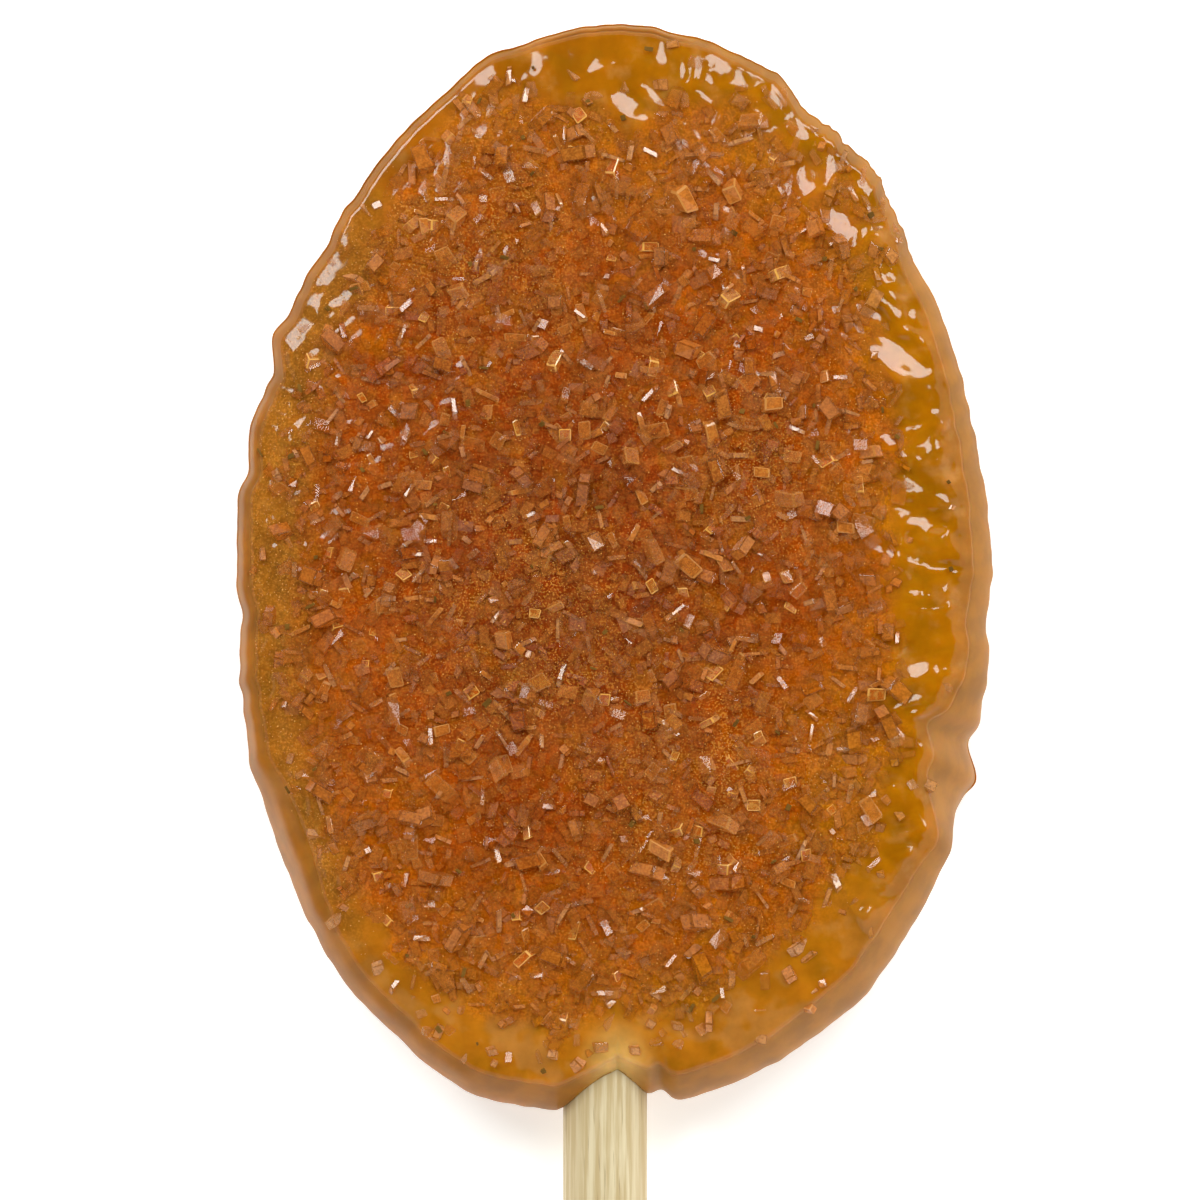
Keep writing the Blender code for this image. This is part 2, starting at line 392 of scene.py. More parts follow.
@dataclass(frozen=True)
class AmberFinish:
    """Clear boiled sugar: deep, glossy and a little cloudy."""

    pool: Colour = seen(172, 105, 5)
    left_pool: Colour = seen(168, 97, 12)
    low_pool: Colour = seen(186, 114, 21)
    # Pale tan patches in the bare pools.
    pale_tan: Colour = seen(190, 130, 62)
    band: Colour = seen(163, 103, 2)
    # The band on the left is a little darker and browner: painted shade for the weaker reflection there.
    shaded_left_band: Colour = seen(158, 96, 8)
    # Paler over the stick's notch: a painted glow of light coming through the thin candy there.
    neck: Colour = seen(214, 164, 88)
    # Pale tan tongues in the lower pool: painted reflection of the bright surroundings.
    reflected_tongue: Colour = seen(186, 124, 54)
    film: Colour = seen(157, 98, 32)
    buried: Colour = seen(168, 96, 40)
    red: Colour = seen(156, 56, 8)
    olive: Colour = seen(160, 102, 10)
    roughness: float = 0.06
    band_roughness: float = 0.5
    gloss: float = 0.38
    density: float = 1.5
    cloudiness: float = 0.5
    depth: tuple[float, float, float] = (1.0, 0.35, 0.1)
    cell: float = 0.7
    cell_from: Span = (0.35, 0.75)
    cell_share: Span = (0.0, 0.45)
    right_from: Span = (-12.0, 10.0)
    low_from: Span = (-23.0, -14.0)
    dulled_from: Span = (0.2, 1.0)
    aside: float = 10.0
    red_patches: Patches = Patches(1.1, 3.0, 0.52, 0.66, (0.0, 0.3))
    olive_patches: Patches = Patches(1.7, 3.0, 0.5, 0.66, (0.0, 0.55))
    olive_on_crust: float = 0.5
    pale_tan_patches: Patches = Patches(1.3, 5.0, 0.5, 0.74, (0.0, 0.6))
    reflected_tongue_patches: Patches = Patches(2.8, 2.0, 0.5, 0.57, (0.0, 0.85))
    clouds: Patches = Patches(1.6, 4.0, 0.3, 0.7, (0.82, 1.14))

    def material(self) -> bpy.types.Material:
        """The material, which reads the candy's own masks bare, band, neck, film, crust and dusty."""
        material, nodes, shader = new_shader(Slot.AMBER.value)
        place = object_place(nodes)
        tone = amber_colour(nodes, place)
        cells = nodes.add(
            "ShaderNodeTexVoronoi",
            {"Vector": place, "Scale": 1.0 / (self.cell * MM)},
            distance="CHEBYCHEV",
        )
        pale = nodes.ease(cells.outputs["Color"], *self.cell_from, self.cell_share)
        inner = nodes.mix(pale, tone, self.buried)
        crust = read(nodes, "crust")
        aside = nodes.add(
            "ShaderNodeMapping", {"Vector": place, "Location": (self.aside * MM, 0.0, 0.0)}
        ).outputs[0]
        blush = nodes.math("MULTIPLY", self.red_patches.over(nodes, place), crust)
        moss = self.olive_patches.over(nodes, aside)
        thin_moss = nodes.math("MULTIPLY", moss, self.olive_on_crust)
        mottled = nodes.mix(thin_moss, nodes.mix(blush, inner, self.red), self.olive)
        pale_tan = self.pale_tan_patches.over(nodes, aside)
        across, along, _ = nodes.add("ShaderNodeSeparateXYZ", {0: place}).outputs
        right = nodes.ease(across, *(at * MM for at in self.right_from))
        low = nodes.ease(along, *(at * MM for at in self.low_from), (1.0, 0.0))
        clear = nodes.mix(low, nodes.mix(right, self.left_pool, self.pool), self.low_pool)
        pool = nodes.mix(pale_tan, nodes.mix(moss, clear, self.olive), self.pale_tan)
        # Painted reflection: pale tan tongues, only in the lower pool.
        reflected_tongue = nodes.math("MULTIPLY", self.reflected_tongue_patches.over(nodes, aside), low)
        pool = nodes.mix(reflected_tongue, pool, self.reflected_tongue)
        bare = nodes.mix(read(nodes, "bare"), mottled, pool)
        filmed = nodes.mix(read(nodes, "film"), bare, self.film)
        banded = read(nodes, "band")
        # The left of the band takes the darker colour of painted shade.
        band = nodes.mix(banded, filmed, nodes.mix(right, self.shaded_left_band, self.band))
        # The neck mask lays the painted glow over the stick.
        neck = nodes.mix(read(nodes, "neck"), band, self.neck)
        grained = CrustGrain().over(nodes, neck, place, read(nodes, "dusty"))
        gilt = nodes.mix(nodes.math("MAXIMUM", crust, read(nodes, "film")), neck, grained)
        nodes.fill(
            shader,
            {
                "Base Color": nodes.shade(gilt, self.clouds.over(nodes, place)),
                "Roughness": nodes.ease(banded, *self.dulled_from, (self.roughness, self.band_roughness)),
                "IOR": self.density,
                "Specular IOR Level": self.gloss,
                "Subsurface Weight": self.cloudiness,
                "Subsurface Radius": self.depth,
                "Subsurface Scale": MM,
            },
        )
        return material


@dataclass(frozen=True)
class SugarFinish:
    """Clear sugar crystals, which show the candy that they are set in and catch light on their facets; a
    pinkish veil of painted reflection, and on a few worn edges a painted glow, are mixed into their colour.
    """

    name: str = Slot.CRYSTAL.value
    # A pale pinkish veil, mixed into each crystal by its tint: painted reflection of the bright surroundings
    # on its facets.
    reflected_veil: Colour = seen(174, 104, 46)
    honey: Colour = seen(205, 121, 50)
    # The colour of a painted glow along the worn edges of a few crystals.
    edge: Colour = seen(222, 152, 78)
    cover: Span = (0.16, 0.78)
    worn_cover: float = 0.4
    second_draw: float = 9.73
    third_draw: float = 31.7
    lit_from: Span = (0.84, 0.95)
    lit_share: Span = (0.0, 0.9)
    honey_from: Span = (0.55, 0.9)
    honey_share: Span = (0.0, 0.7)
    reflected_veil_share: float = 0.85
    roughness: float = 0.05
    density: float = 1.5

    def material(self) -> bpy.types.Material:
        """The material, which reads each crystal's own tint, the edge mask and the dust."""
        material, nodes, shader = new_shader(self.name)
        place = object_place(nodes)
        tint, edge = read(nodes, "tint"), read(nodes, "edge")
        second = nodes.math("FRACT", nodes.math("MULTIPLY", tint, self.second_draw))
        third = nodes.math("FRACT", nodes.math("MULTIPLY", tint, self.third_draw))
        # A few crystals' worn edges get a painted glow of light caught along them.
        lit = nodes.math("MULTIPLY", edge, nodes.ease(third, *self.lit_from, self.lit_share))
        tone = amber_colour(nodes, place)
        # Mixes in the painted reflection by each crystal's tint.
        heart = nodes.mix(nodes.math("MULTIPLY", tint, self.reflected_veil_share), tone, self.reflected_veil)
        warm = nodes.mix(nodes.ease(third, *self.honey_from, self.honey_share), heart, self.honey)
        grained = CrustGrain().over(nodes, warm, place, read(nodes, "dusty"))
        worn = nodes.ease(nodes.math("SUBTRACT", edge, lit), 0.0, 1.0, (1.0, self.worn_cover))
        nodes.fill(
            shader,
            {
                "Base Color": nodes.mix(lit, grained, self.edge),
                "Alpha": nodes.math("MULTIPLY", nodes.ease(second, 0.0, 1.0, self.cover), worn),
                "Roughness": self.roughness,
                "IOR": self.density,
            },
        )
        return material


@dataclass(frozen=True)
class GoldenFinish:
    """Crystals that gather the light and glow, brightest along their edges."""

    heart: Colour = seen(213, 126, 50)
    ember: Colour = seen(222, 100, 10)
    edge: Colour = seen(240, 176, 86)
    cover: float = 0.5
    edge_cover: float = 0.8
    mottle: Patches = Patches(0.22, 2.0, 0.42, 0.62, (0.0, 0.6))
    roughness: float = 0.08
    density: float = 1.7

    def material(self) -> bpy.types.Material:
        """The material, which reads each crystal's own tint and the edge mask."""
        material, nodes, shader = new_shader("sugar_crystal_lit")
        edge = read(nodes, "edge")
        heart = nodes.mix(read(nodes, "tint"), self.heart, self.ember)
        speckled = nodes.mix(self.mottle.over(nodes, object_place(nodes)), heart, self.edge)
        nodes.fill(
            shader,
            {
                "Base Color": nodes.mix(edge, speckled, self.edge),
                "Alpha": nodes.ease(edge, 0.0, 1.0, (self.cover, self.edge_cover)),
                "Roughness": self.roughness,
                "IOR": self.density,
            },
        )
        return material


@dataclass(frozen=True)
class DustFinish:
    """Fine crushed sugar and spice that stuck to the crust."""

    pale: Colour = seen(222, 158, 66)
    dark: Colour = seen(168, 104, 36)
    roughness: float = 0.45

    def material(self) -> bpy.types.Material:
        """The material, which reads each grain's own tint."""
        material, nodes, shader = new_shader("sugar_dust")
        colour = nodes.mix(read(nodes, "tint"), self.dark, self.pale)
        nodes.fill(shader, {"Base Color": colour, "Roughness": self.roughness})
        return material


@dataclass(frozen=True)
class HerbFinish:
    """Specks of ground spice, olive brown and dry."""

    dark: Colour = seen(84, 56, 14)
    pale: Colour = seen(134, 94, 34)
    grain: float = 0.12
    roughness: float = 0.7
    gloss: float = 0.1

    def material(self) -> bpy.types.Material:
        """The material, which reads each speck's own tint."""
        material, nodes, shader = new_shader(Slot.HERB.value)
        mottle = nodes.grain(object_place(nodes), self.grain, 3.0)
        share = nodes.math("MULTIPLY", nodes.math("ADD", read(nodes, "tint"), mottle), 0.5)
        colour = nodes.mix(share, self.dark, self.pale)
        nodes.fill(
            shader, {"Base Color": colour, "Roughness": self.roughness, "Specular IOR Level": self.gloss}
        )
        return material


@dataclass(frozen=True)
class BirchFinish:
    """Bare birch, cream with fine streaks along the grain."""

    pale: Colour = seen(236, 222, 190)
    streak: Colour = seen(196, 172, 128)
    pore: Colour = seen(150, 122, 84)
    stretch: float = 0.045
    fibres: Patches = Patches(0.35, 5.0, 0.38, 0.66)
    streaks: Patches = Patches(1.4, 2.0, 0.35, 0.7, (0.0, 0.6))
    pores: Patches = Patches(0.16, 2.0, 0.64, 0.72, (0.0, 0.7))
    relief: float = 0.05
    bump: float = 0.5
    roughness: float = 0.6

    def material(self) -> bpy.types.Material:
        """The material, whose streaks run along the stick."""
        material, nodes, shader = new_shader(Slot.BIRCH.value)
        place = object_place(nodes)
        drawn = nodes.add(
            "ShaderNodeMapping", {"Vector": place, "Scale": (1.0, self.stretch, 1.0)}
        ).outputs[0]
        fibre = self.fibres.over(nodes, drawn)
        wood = nodes.mix(fibre, self.streak, self.pale)
        toned = nodes.mix(self.streaks.over(nodes, drawn), wood, self.streak)
        colour = nodes.mix(self.pores.over(nodes, drawn), toned, self.pore)
        bump = nodes.add(
            "ShaderNodeBump", {"Height": fibre, "Strength": self.bump, "Distance": self.relief * MM}
        )
        nodes.fill(shader, {"Base Color": colour, "Roughness": self.roughness, "Normal": bump.outputs[0]})
        return material


@dataclass(frozen=True)
class FloorFinish:
    """A plain pale floor."""

    colour: Colour = (0.93, 0.94, 0.98, 1.0)
    glow: float = 0.45
    roughness: float = 0.8

    def material(self) -> bpy.types.Material:
        """The material."""
        material, nodes, shader = new_shader("floor")
        nodes.fill(
            shader,
            {
                "Base Color": self.colour,
                "Roughness": self.roughness,
                "Emission Color": (1.0, 1.0, 1.0, 1.0),
                "Emission Strength": self.glow,
            },
        )
        return material


@dataclass(frozen=True)
class Swell:
    """A swell of syrup with one smooth flank: its middle, half-sizes, turn and the way that it falls."""

    x: float
    y: float
    long: float
    broad: float
    turn: float
    faces: float = 132.0
    fall: float = 0.33

    def window(self, flat: np.ndarray) -> np.ndarray:
        """1 on the flank, easing to 0 round it, at rows of x and y."""
        lie = math.radians(self.turn)
        x, y = flat[:, 0] - self.x, flat[:, 1] - self.y
        along = (x * math.cos(lie) + y * math.sin(lie)) / self.long
        aside = (y * math.cos(lie) - x * math.sin(lie)) / self.broad
        return np.exp(-((along**2 + aside**2) ** 2))

    def lay(self, flat: np.ndarray, height: np.ndarray) -> np.ndarray:
        """The heights with this flank laid into them.

        Args:
            flat: Rows of x and y.
            height: The height at each.

        Returns:
            The new heights.
        """
        window = self.window(flat)
        way = math.radians(self.faces)
        down = (flat[:, 0] - self.x) * math.cos(way) + (flat[:, 1] - self.y) * math.sin(way)
        middle = np.average(height, weights=window**4)
        return height + window * (middle - self.fall * down - height)


@dataclass
class CandyShape:
    """The candy's form: its oval, sloping side, domed face and the field of its crust."""

    width: float = 37.2
    length: float = 53.4
    crown: float = 7.7
    crease: float = 6.5
    dome_power: float = 2.4
    swell: float = 0.008
    waves: tuple[tuple[int, float, float], ...] = (
        (1, 0.0215, -99.0),
        (2, 0.0082, 106.0),
        (3, 0.0159, -86.0),
        (4, 0.0073, -133.0),
        (5, 0.0041, 122.0),
    )
    beads: Triples = (
        (0.0, 0.14, 2.5),
        (7.0, 0.16, 2.6),
        (35.0, -0.28, 3.0),
        (47.0, 0.36, 3.2),
        (59.0, -0.30, 3.0),
        (65.0, 0.22, 3.0),
        (81.0, -0.16, 3.0),
        (110.0, 0.34, 4.0),
        (134.0, -0.15, 3.0),
        (142.0, -0.20, 3.4),
        (154.5, 0.30, 2.2),
        (158.5, -0.30, 1.8),
        (165.0, 0.18, 2.2),
        (169.0, -0.12, 1.6),
        (172.5, 0.20, 1.8),
        (185.0, -0.26, 2.6),
        (200.0, 0.24, 3.6),
        (235.0, -0.20, 4.0),
        (249.0, 0.20, 5.0),
        (277.4, -0.45, 1.7),
        (310.0, 0.18, 4.0),
        (333.5, -0.24, 1.8),
        (337.8, 0.48, 1.5),
        (341.0, -0.36, 1.6),
        (354.0, -0.14, 2.5),
    )
    nick_depth: float = 0.16
    nick_least: float = 0.4
    nick_span: float = 1.0
    chipped_at: Triples = ((49.0, 0.24, 13.0),)
    chip_span: float = 0.5
    notch_x: float = 0.1
    notch_depth: float = 1.5
    notch_left: float = 3.0
    notch_right: float = 2.7
    slope_width: float = 0.95
    slope_swing: float = 0.55
    slope_widest_at: float = -75.0
    slope_facets: Triples = (
        (211.0, 0.75, 9.0),
        (312.0, 0.25, 14.0),
        (330.0, -0.60, 3.5),
        (338.5, 1.50, 6.0),
    )
    shoulder: tuple[Span, ...] = ((0.0, 0.0), (0.12, 0.10), (0.50, 0.55), (0.86, 1.15), (1.00, 1.85))
    wall: tuple[Span, ...] = ((1.00, 1.60), (0.80, 0.40), (0.40, 0.0))
    flattest_at: float = 150.0
    flat_mean: float = 0.4
    flat_swing: float = 0.42
    flat_wander: float = 0.4
    flat_span: float = 3.1
    flat_at: Triples = ((92.0, 0.45, 14.0), (61.0, -0.6, 18.0), (132.0, -0.9, 30.0))
    flattened: float = 0.86
    flat_out_to: float = 0.6
    plain_at: Triples = ((129.0, 0.95, 32.0), (61.0, 0.85, 15.0))
    ridge_height: float = 0.26
    ridge_share: float = 0.94
    ridge_reach: float = 0.06
    ridge_inset: float = 5.0
    lump_depth: float = 0.22
    lump_span: float = 4.2
    field_insets: tuple[Span, ...] = (
        (0.0, 5.3),
        (30.0, 3.4),
        (50.0, 1.3),
        (68.0, 2.4),
        (90.0, 4.9),
        (116.0, 1.5),
        (150.0, 2.3),
        (185.0, 2.3),
        (225.0, 3.3),
        (270.0, 4.3),
        (305.0, 4.9),
        (335.0, 4.2),
    )
    dust_places: Triples = (
        (-4.0, -2.6, 5.0),
        (-7.3, 16.5, 4.6),
        (4.2, -10.3, 5.2),
        (7.5, 5.0, 3.4),
    )
    dust_patch: float = 2.2
    dust_least: float = 0.34
    dust_most: float = 0.8

    def rim(self, turn: np.ndarray) -> np.ndarray:
        """The widest point of the rim at each angle.

        Args:
            turn: Angles in radians.

        Returns:
            Rows of x and y.
        """
        swell = 1.0 + self.swell
        for turns, share, phase in self.waves:
            swell = swell + share * np.cos(turns * turn - math.radians(phase))
        x = self.width / 2 * np.cos(turn) * swell
        y = self.length / 2 * np.sin(turn) * swell
        out = self.beaded(turn, self.beads) + self.nicks(turn)
        grown = 1.0 + out / np.hypot(x, y)
        x, y = x * grown, y * grown
        return np.stack([x, y + np.where(y < 0, self.notch(x), 0.0)], axis=-1)

    def nicks(self, turn: np.ndarray) -> np.ndarray:
        """Small nicks and bulges of the rim, deepest on its left and right, and its chips, as heights."""
        around = self.around(turn)
        depth = self.nick_depth * (self.nick_least + (1.0 - self.nick_least) * np.cos(turn) ** 4)
        chips = self.beaded(turn, self.chipped_at) * wander(around, self.chip_span, 57.0)
        return depth * wander(around, self.nick_span, 53.0) + chips

    def around(self, turn: np.ndarray) -> np.ndarray:
        """A plain round path to read noise along, as rows of x and y."""
        return np.stack([np.cos(turn), np.sin(turn)], axis=-1) * self.length / 2

    def beaded(self, turn: np.ndarray, beads: Triples) -> np.ndarray:
        """The sum of smooth swells round the rim.

        Args:
            turn: Angles in radians.
            beads: The angle in degrees, the height and the reach in degrees of each swell.

        Returns:
            The height at each angle.
        """
        height = np.zeros_like(turn)
        for angle, depth, reach in beads:
            off = (np.degrees(turn) - angle + 180.0) % 360.0 - 180.0
            height += depth * np.exp(-((off / reach) ** 2))
        return height

    def notch(self, x: np.ndarray) -> np.ndarray:
        """How far the rim draws back over the stick."""
        off = x - self.notch_x
        reach = np.where(off > 0, self.notch_right, self.notch_left)
        return self.notch_depth * np.clip(1.0 - np.abs(off) / reach, 0.0, None)

    def slope(self, turn: np.ndarray) -> np.ndarray:
        """The width of the sloping side, seen from above."""
        swing = self.slope_swing * np.cos(turn - math.radians(self.slope_widest_at))
        return self.slope_width + swing + self.beaded(turn, self.slope_facets)

    def flats(self, turn: np.ndarray) -> np.ndarray:
        """1 where the upper slope lies nearly flat, mostly round the top, and 0 where it falls at once."""
        swing = self.flat_swing * np.cos(turn - math.radians(self.flattest_at))
        drift = self.flat_wander * wander(self.around(turn), self.flat_span, 19.0)
        return smooth(0.3, 0.7, self.flat_mean + swing + drift + self.beaded(turn, self.flat_at))

    def section(self, turn: np.ndarray, steps: int) -> np.ndarray:
        """The rim's section at each angle, drawn as a smooth curve through its named points.

        Args:
            turn: Angles in radians.
            steps: How many rings each stretch of the curve has.

        Returns:
            For each ring and angle, the share of the slope's width and the height.
        """
        width = self.slope(turn)
        kept = 1.0 - self.flattened * self.flats(turn)
        named = []
        for out, down in self.shoulder:
            down = down * np.where(out < self.flat_out_to, kept, 1.0)
            named.append((np.full_like(width, out), self.crease - down * width))
        named += [(np.full_like(width, out), np.full_like(width, height)) for out, height in self.wall]
        knots = np.array(named).transpose(0, 2, 1)
        padded = np.concatenate([2 * knots[:1] - knots[1:2], knots, 2 * knots[-1:] - knots[-2:-1]])
        rings = []
        for before, start, end, after in zip(padded, padded[1:], padded[2:], padded[3:]):
            for step in range(1, steps + 1):
                t = step / steps
                bend = 2 * before - 5 * start + 4 * end - after
                twist = 3 * start - before - 3 * end + after
                rings.append(0.5 * (2 * start + (end - before) * t + bend * t**2 + twist * t**3))
        return np.maximum(rings, 0.0)

    def inside(self, turn: np.ndarray, inset: np.ndarray | float) -> np.ndarray:
        """Points this far inside the rim, towards the middle, as rows of x and y."""
        point = self.rim(turn)
        reach = np.hypot(point[..., 0], point[..., 1])
        return point * (1.0 - inset / reach)[..., None]

    def field_inset(self, turn: np.ndarray) -> np.ndarray:
        """How far inside the rim the crust stops, eased between the listed places."""
        angle = np.degrees(turn) % 360.0
        places = self.field_insets + ((self.field_insets[0][0] + 360.0, self.field_insets[0][1]),)
        inset = np.zeros_like(angle)
        for (start, first), (end, last) in zip(places, places[1:]):
            here = (angle >= start) & (angle <= end)
            inset = np.where(here, first + (last - first) * smooth(start, end, angle), inset)
        return inset

    def face_height(self, flat: np.ndarray, share: np.ndarray, turn: np.ndarray) -> np.ndarray:
        """The height of the plain face.

        Args:
            flat: Rows of x and y.
            share: How far each lies from the middle, 0, to the crease, 1.
            turn: The angle of each.

        Returns:
            Heights above the floor.
        """
        dome = (self.crown - self.crease) * (1.0 - share**self.dome_power)
        bare = np.minimum(1.0, self.field_inset(turn) / self.ridge_inset)
        bare = bare * (1.0 - self.beaded(turn, self.plain_at))
        ridge = self.ridge_height * bare * np.exp(-(((share - self.ridge_share) / self.ridge_reach) ** 2))
        lumps = self.lump_depth * wander(flat, self.lump_span)
        return self.crease + dome + ridge + lumps * (1.0 - share**8)

    def dust(self, flat: np.ndarray) -> np.ndarray:
        """How much golden dust lies at rows of x and y, from 0 to 1."""
        near = np.zeros(len(flat))
        for x, y, reach in self.dust_places:
            near += np.exp(-(((flat[:, 0] - x) ** 2 + (flat[:, 1] - y) ** 2) / reach**2))
        patches = smooth(-0.45, 0.35, wander(flat, self.dust_patch, 29.0))
        return np.clip((self.dust_least + self.dust_most * near) * (0.4 + 0.6 * patches), 0.0, 1.0)

    def on_face(self, turn: np.ndarray, share: np.ndarray) -> np.ndarray:
        """Points of the plain face, as rows of x, y and z."""
        flat = self.inside(turn, self.slope(turn)) * share[..., None]
        return np.column_stack([flat, self.face_height(flat, share, turn)])


def disc_place(square: np.ndarray) -> tuple[np.ndarray, np.ndarray]:
    """Where points of a square from -1 to 1 land on a round disc.

    Args:
        square: Rows of two coordinates.

    Returns:
        Their angles and their radii.
    """
    s, t = square[:, 0], square[:, 1]
    radius = np.maximum(np.abs(s), np.abs(t))
    safe_s = np.where(s == 0.0, 1.0, s)
    safe_t = np.where(t == 0.0, 1.0, t)
    sideways = math.pi / 4 * (t / safe_s) + np.where(s < 0, math.pi, 0.0)
    upright = math.pi / 2 - math.pi / 4 * (s / safe_t) + np.where(t < 0, math.pi, 0.0)
    turn = np.where(np.abs(s) >= np.abs(t), sideways, upright)
    return np.where(radius == 0.0, 0.0, turn), radius


def finished(bm: bmesh.types.BMesh, name: str) -> bpy.types.Mesh:
    """Turns what was drawn into a mesh."""
    mesh = bpy.data.meshes.new(name)
    bm.to_mesh(mesh)
    bm.free()
    return mesh


def put(name: str, data: bpy.types.ID) -> bpy.types.Object:
    """Puts a new object in the scene."""
    made = bpy.data.objects.new(name, data)
    bpy.context.scene.collection.objects.link(made)
    return made


def add_mask(mesh: bpy.types.Mesh, name: str, values: np.ndarray, domain: str = "POINT") -> None:
    """Stores a number for each point or face of a mesh."""
    mask = mesh.attributes.new(name, "FLOAT", domain)
    mask.data.foreach_set("value", np.asarray(values, np.float32))


@dataclass
class Candy:
    """The poured candy, finer than its solid: smooth pools, a drawn rim and relief under the crust."""

    shape: CandyShape = field(default_factory=CandyShape)
    cells: int = 240
    steps: int = 4
    crust_relief: float = 0.06
    crust_span: float = 0.55
    held_from: float = 0.96
    fray: float = 1.1
    fray_span: float = 1.8
    crust_from: Span = (-0.9, 0.7)
    ripple_depth: float = 0.36
    ripple_right: tuple[float, float, float, float] = (-75.0, -35.0, 62.0, 80.0)
    ripple_top: tuple[float, float, float, float] = (62.0, 78.0, 104.0, 120.0)
    ripple_least: float = 0.06
    ripple_at_top: float = 0.25
    bend: float = 0.16
    bend_span: float = 0.8
    drape_depth: float = 0.09
    drape_from: Span = (126.0, 232.0)
    drape_ease: float = 15.0
    drape_inset: Span = (2.6, 4.4)
    drape_rise: float = 40.0
    drape_grit: float = 0.6
    fold_size: Span = (2.2, 0.62)
    fold_slant: float = 0.35
    film_dust: float = 0.55
    stray_share: float = 0.3
    low_stray_share: float = 0.85
    low_from: Span = (0.3, 0.9)
    stray_reach: float = 3.6
    chips_from: Span = (36.0, 68.0)
    chips_ease: float = 4.0
    chips_inset: Span = (0.4, 0.75)
    neck_at: Span = (0.1, -24.2)
    neck_reach: Span = (1.5, 1.7)
    neck_from: Span = (0.2, 1.5)
    band_from: Span = (0.85, 1.1)
    back_below: float = 0.3
    crust_above: float = 5.5
    flecks_above: float = 6.0
    strays_above: float = 4.6
    bore: float = 4.24
    stick_x: float = -0.5
    stick_height: float = 3.6
    stick_in: float = 30.0
    swells: tuple[Swell, ...] = (
        Swell(9.5, 19.1, 1.3, 1.1, 80.0),
        Swell(11.1, 16.8, 1.5, 0.8, -48.0, 52.0),
        Swell(12.1, 16.4, 0.7, 0.35, 60.0),
        Swell(13.2, 13.1, 1.3, 0.32, -54.0, 52.0),
        Swell(12.5, 12.5, 1.0, 0.45, -22.0, 52.0),
        Swell(13.9, 10.2, 1.8, 1.15, -40.0, 52.0),
        Swell(15.0, 6.95, 1.4, 0.45, 8.0, 132.0),
        Swell(15.3, 6.3, 0.8, 0.4, 60.0, 132.0),
        Swell(13.4, 6.2, 0.6, 0.35, -50.0, 52.0),
        Swell(14.8, 2.3, 1.2, 0.5, -8.0, 52.0),
        Swell(15.9, 2.6, 0.7, 0.25, 10.0),
        Swell(12.8, 1.05, 0.6, 0.4, -15.0, 52.0),
        Swell(14.3, 0.5, 0.7, 0.35, -40.0, 52.0),
        Swell(15.8, 0.0, 1.0, 0.34, -5.0, 52.0),
        Swell(14.6, -1.2, 0.6, 0.4, -20.0, 52.0),
        Swell(15.8, -1.9, 0.9, 0.32, 0.0),
        Swell(13.6, -4.0, 1.1, 0.28, -32.0, 52.0),
        Swell(14.8, -4.9, 1.15, 0.9, -10.0),
        Swell(14.7, -7.1, 0.6, 0.35, 0.0),
        Swell(14.7, -12.8, 1.1, 0.3, 8.0),
        Swell(16.1, -13.0, 0.7, 0.32, -8.0, 52.0),
        Swell(14.2, -13.9, 0.45, 0.3, 0.0),
        Swell(15.1, -14.4, 0.7, 0.4, 45.0),
        Swell(0.55, 22.7, 1.45, 0.85, -35.0, 52.0),
        Swell(1.8, 23.3, 1.2, 0.42, -45.0, 52.0, 0.3),
        Swell(-0.9, 24.6, 0.7, 0.4, 20.0),
        Swell(3.6, 24.2, 0.7, 0.35, 90.0),
        Swell(4.3, 23.2, 0.8, 0.3, -50.0, 52.0),
        Swell(4.9, 22.1, 0.8, 0.3, 75.0),
        Swell(5.9, 24.0, 0.7, 0.3, -20.0, 52.0),
        Swell(7.7, 21.6, 1.1, 0.35, 10.0),
        Swell(-13.5, 13.2, 0.8, 0.4, 15.0),
        Swell(-16.0, 11.1, 0.35, 0.7, 0.0),
    )

    def build(self) -> bpy.types.Object:
        """Makes the candy's mesh, with the masks that its finish reads.

        Returns:
            The candy, dressed, with the stick's bore cut out.
        """
        bm = bmesh.new()
        bmesh.ops.create_grid(bm, x_segments=self.cells, y_segments=self.cells, size=1.0)
        square = np.array([vert.co[:2] for vert in bm.verts])
        turn, share = disc_place(square)
        top = self.face(turn, share)
        for vert, point in zip(bm.verts, top):
            vert.co = point * MM
        turns = {vert: angle for vert, angle in zip(bm.verts, turn) if vert.is_boundary}
        ring = sorted(turns, key=turns.get)
        angles = np.array([turns[vert] for vert in ring])
        for section in self.shape.section(angles, self.steps):
            ring = self.draw_ring(bm, ring, angles, section)
        bm.faces.new(ring)
        bmesh.ops.recalc_face_normals(bm, faces=bm.faces)
        mesh = finished(bm, "candy_body")
        self.mark(mesh)
        mesh.shade_smooth()
        candy = put("candy_body", mesh)
        self.cut_bore(candy)
        candy.data.materials.clear()
        candy.data.materials.append(AmberFinish().material())
        return candy

    def face(self, turn: np.ndarray, share: np.ndarray) -> np.ndarray:
        """The face with its relief, as rows of x, y and z."""
        points = self.shape.on_face(turn, share)
        flat = points[:, :2]
        crust = self.crust(flat, turn)
        bumps = wander(flat, self.crust_span, 3.0)
        pools = self.ripples(flat, turn)
        held = 1.0 - smooth(self.held_from, 1.0, share)
        points[:, 2] += (self.crust_relief * bumps * crust + pools * (1.0 - crust)) * held
        points[:, 2] += self.drape_depth * self.drape(flat, turn) * held
        sway = [wander(flat, self.bend_span, shift) for shift in (41.0, 43.0)]
        bent = flat + self.bend * np.stack(sway, axis=-1)
        laid = points[:, 2]
        for swell in self.swells:
            laid = swell.lay(bent, laid)
        points[:, 2] += (laid - points[:, 2]) * held
        return points

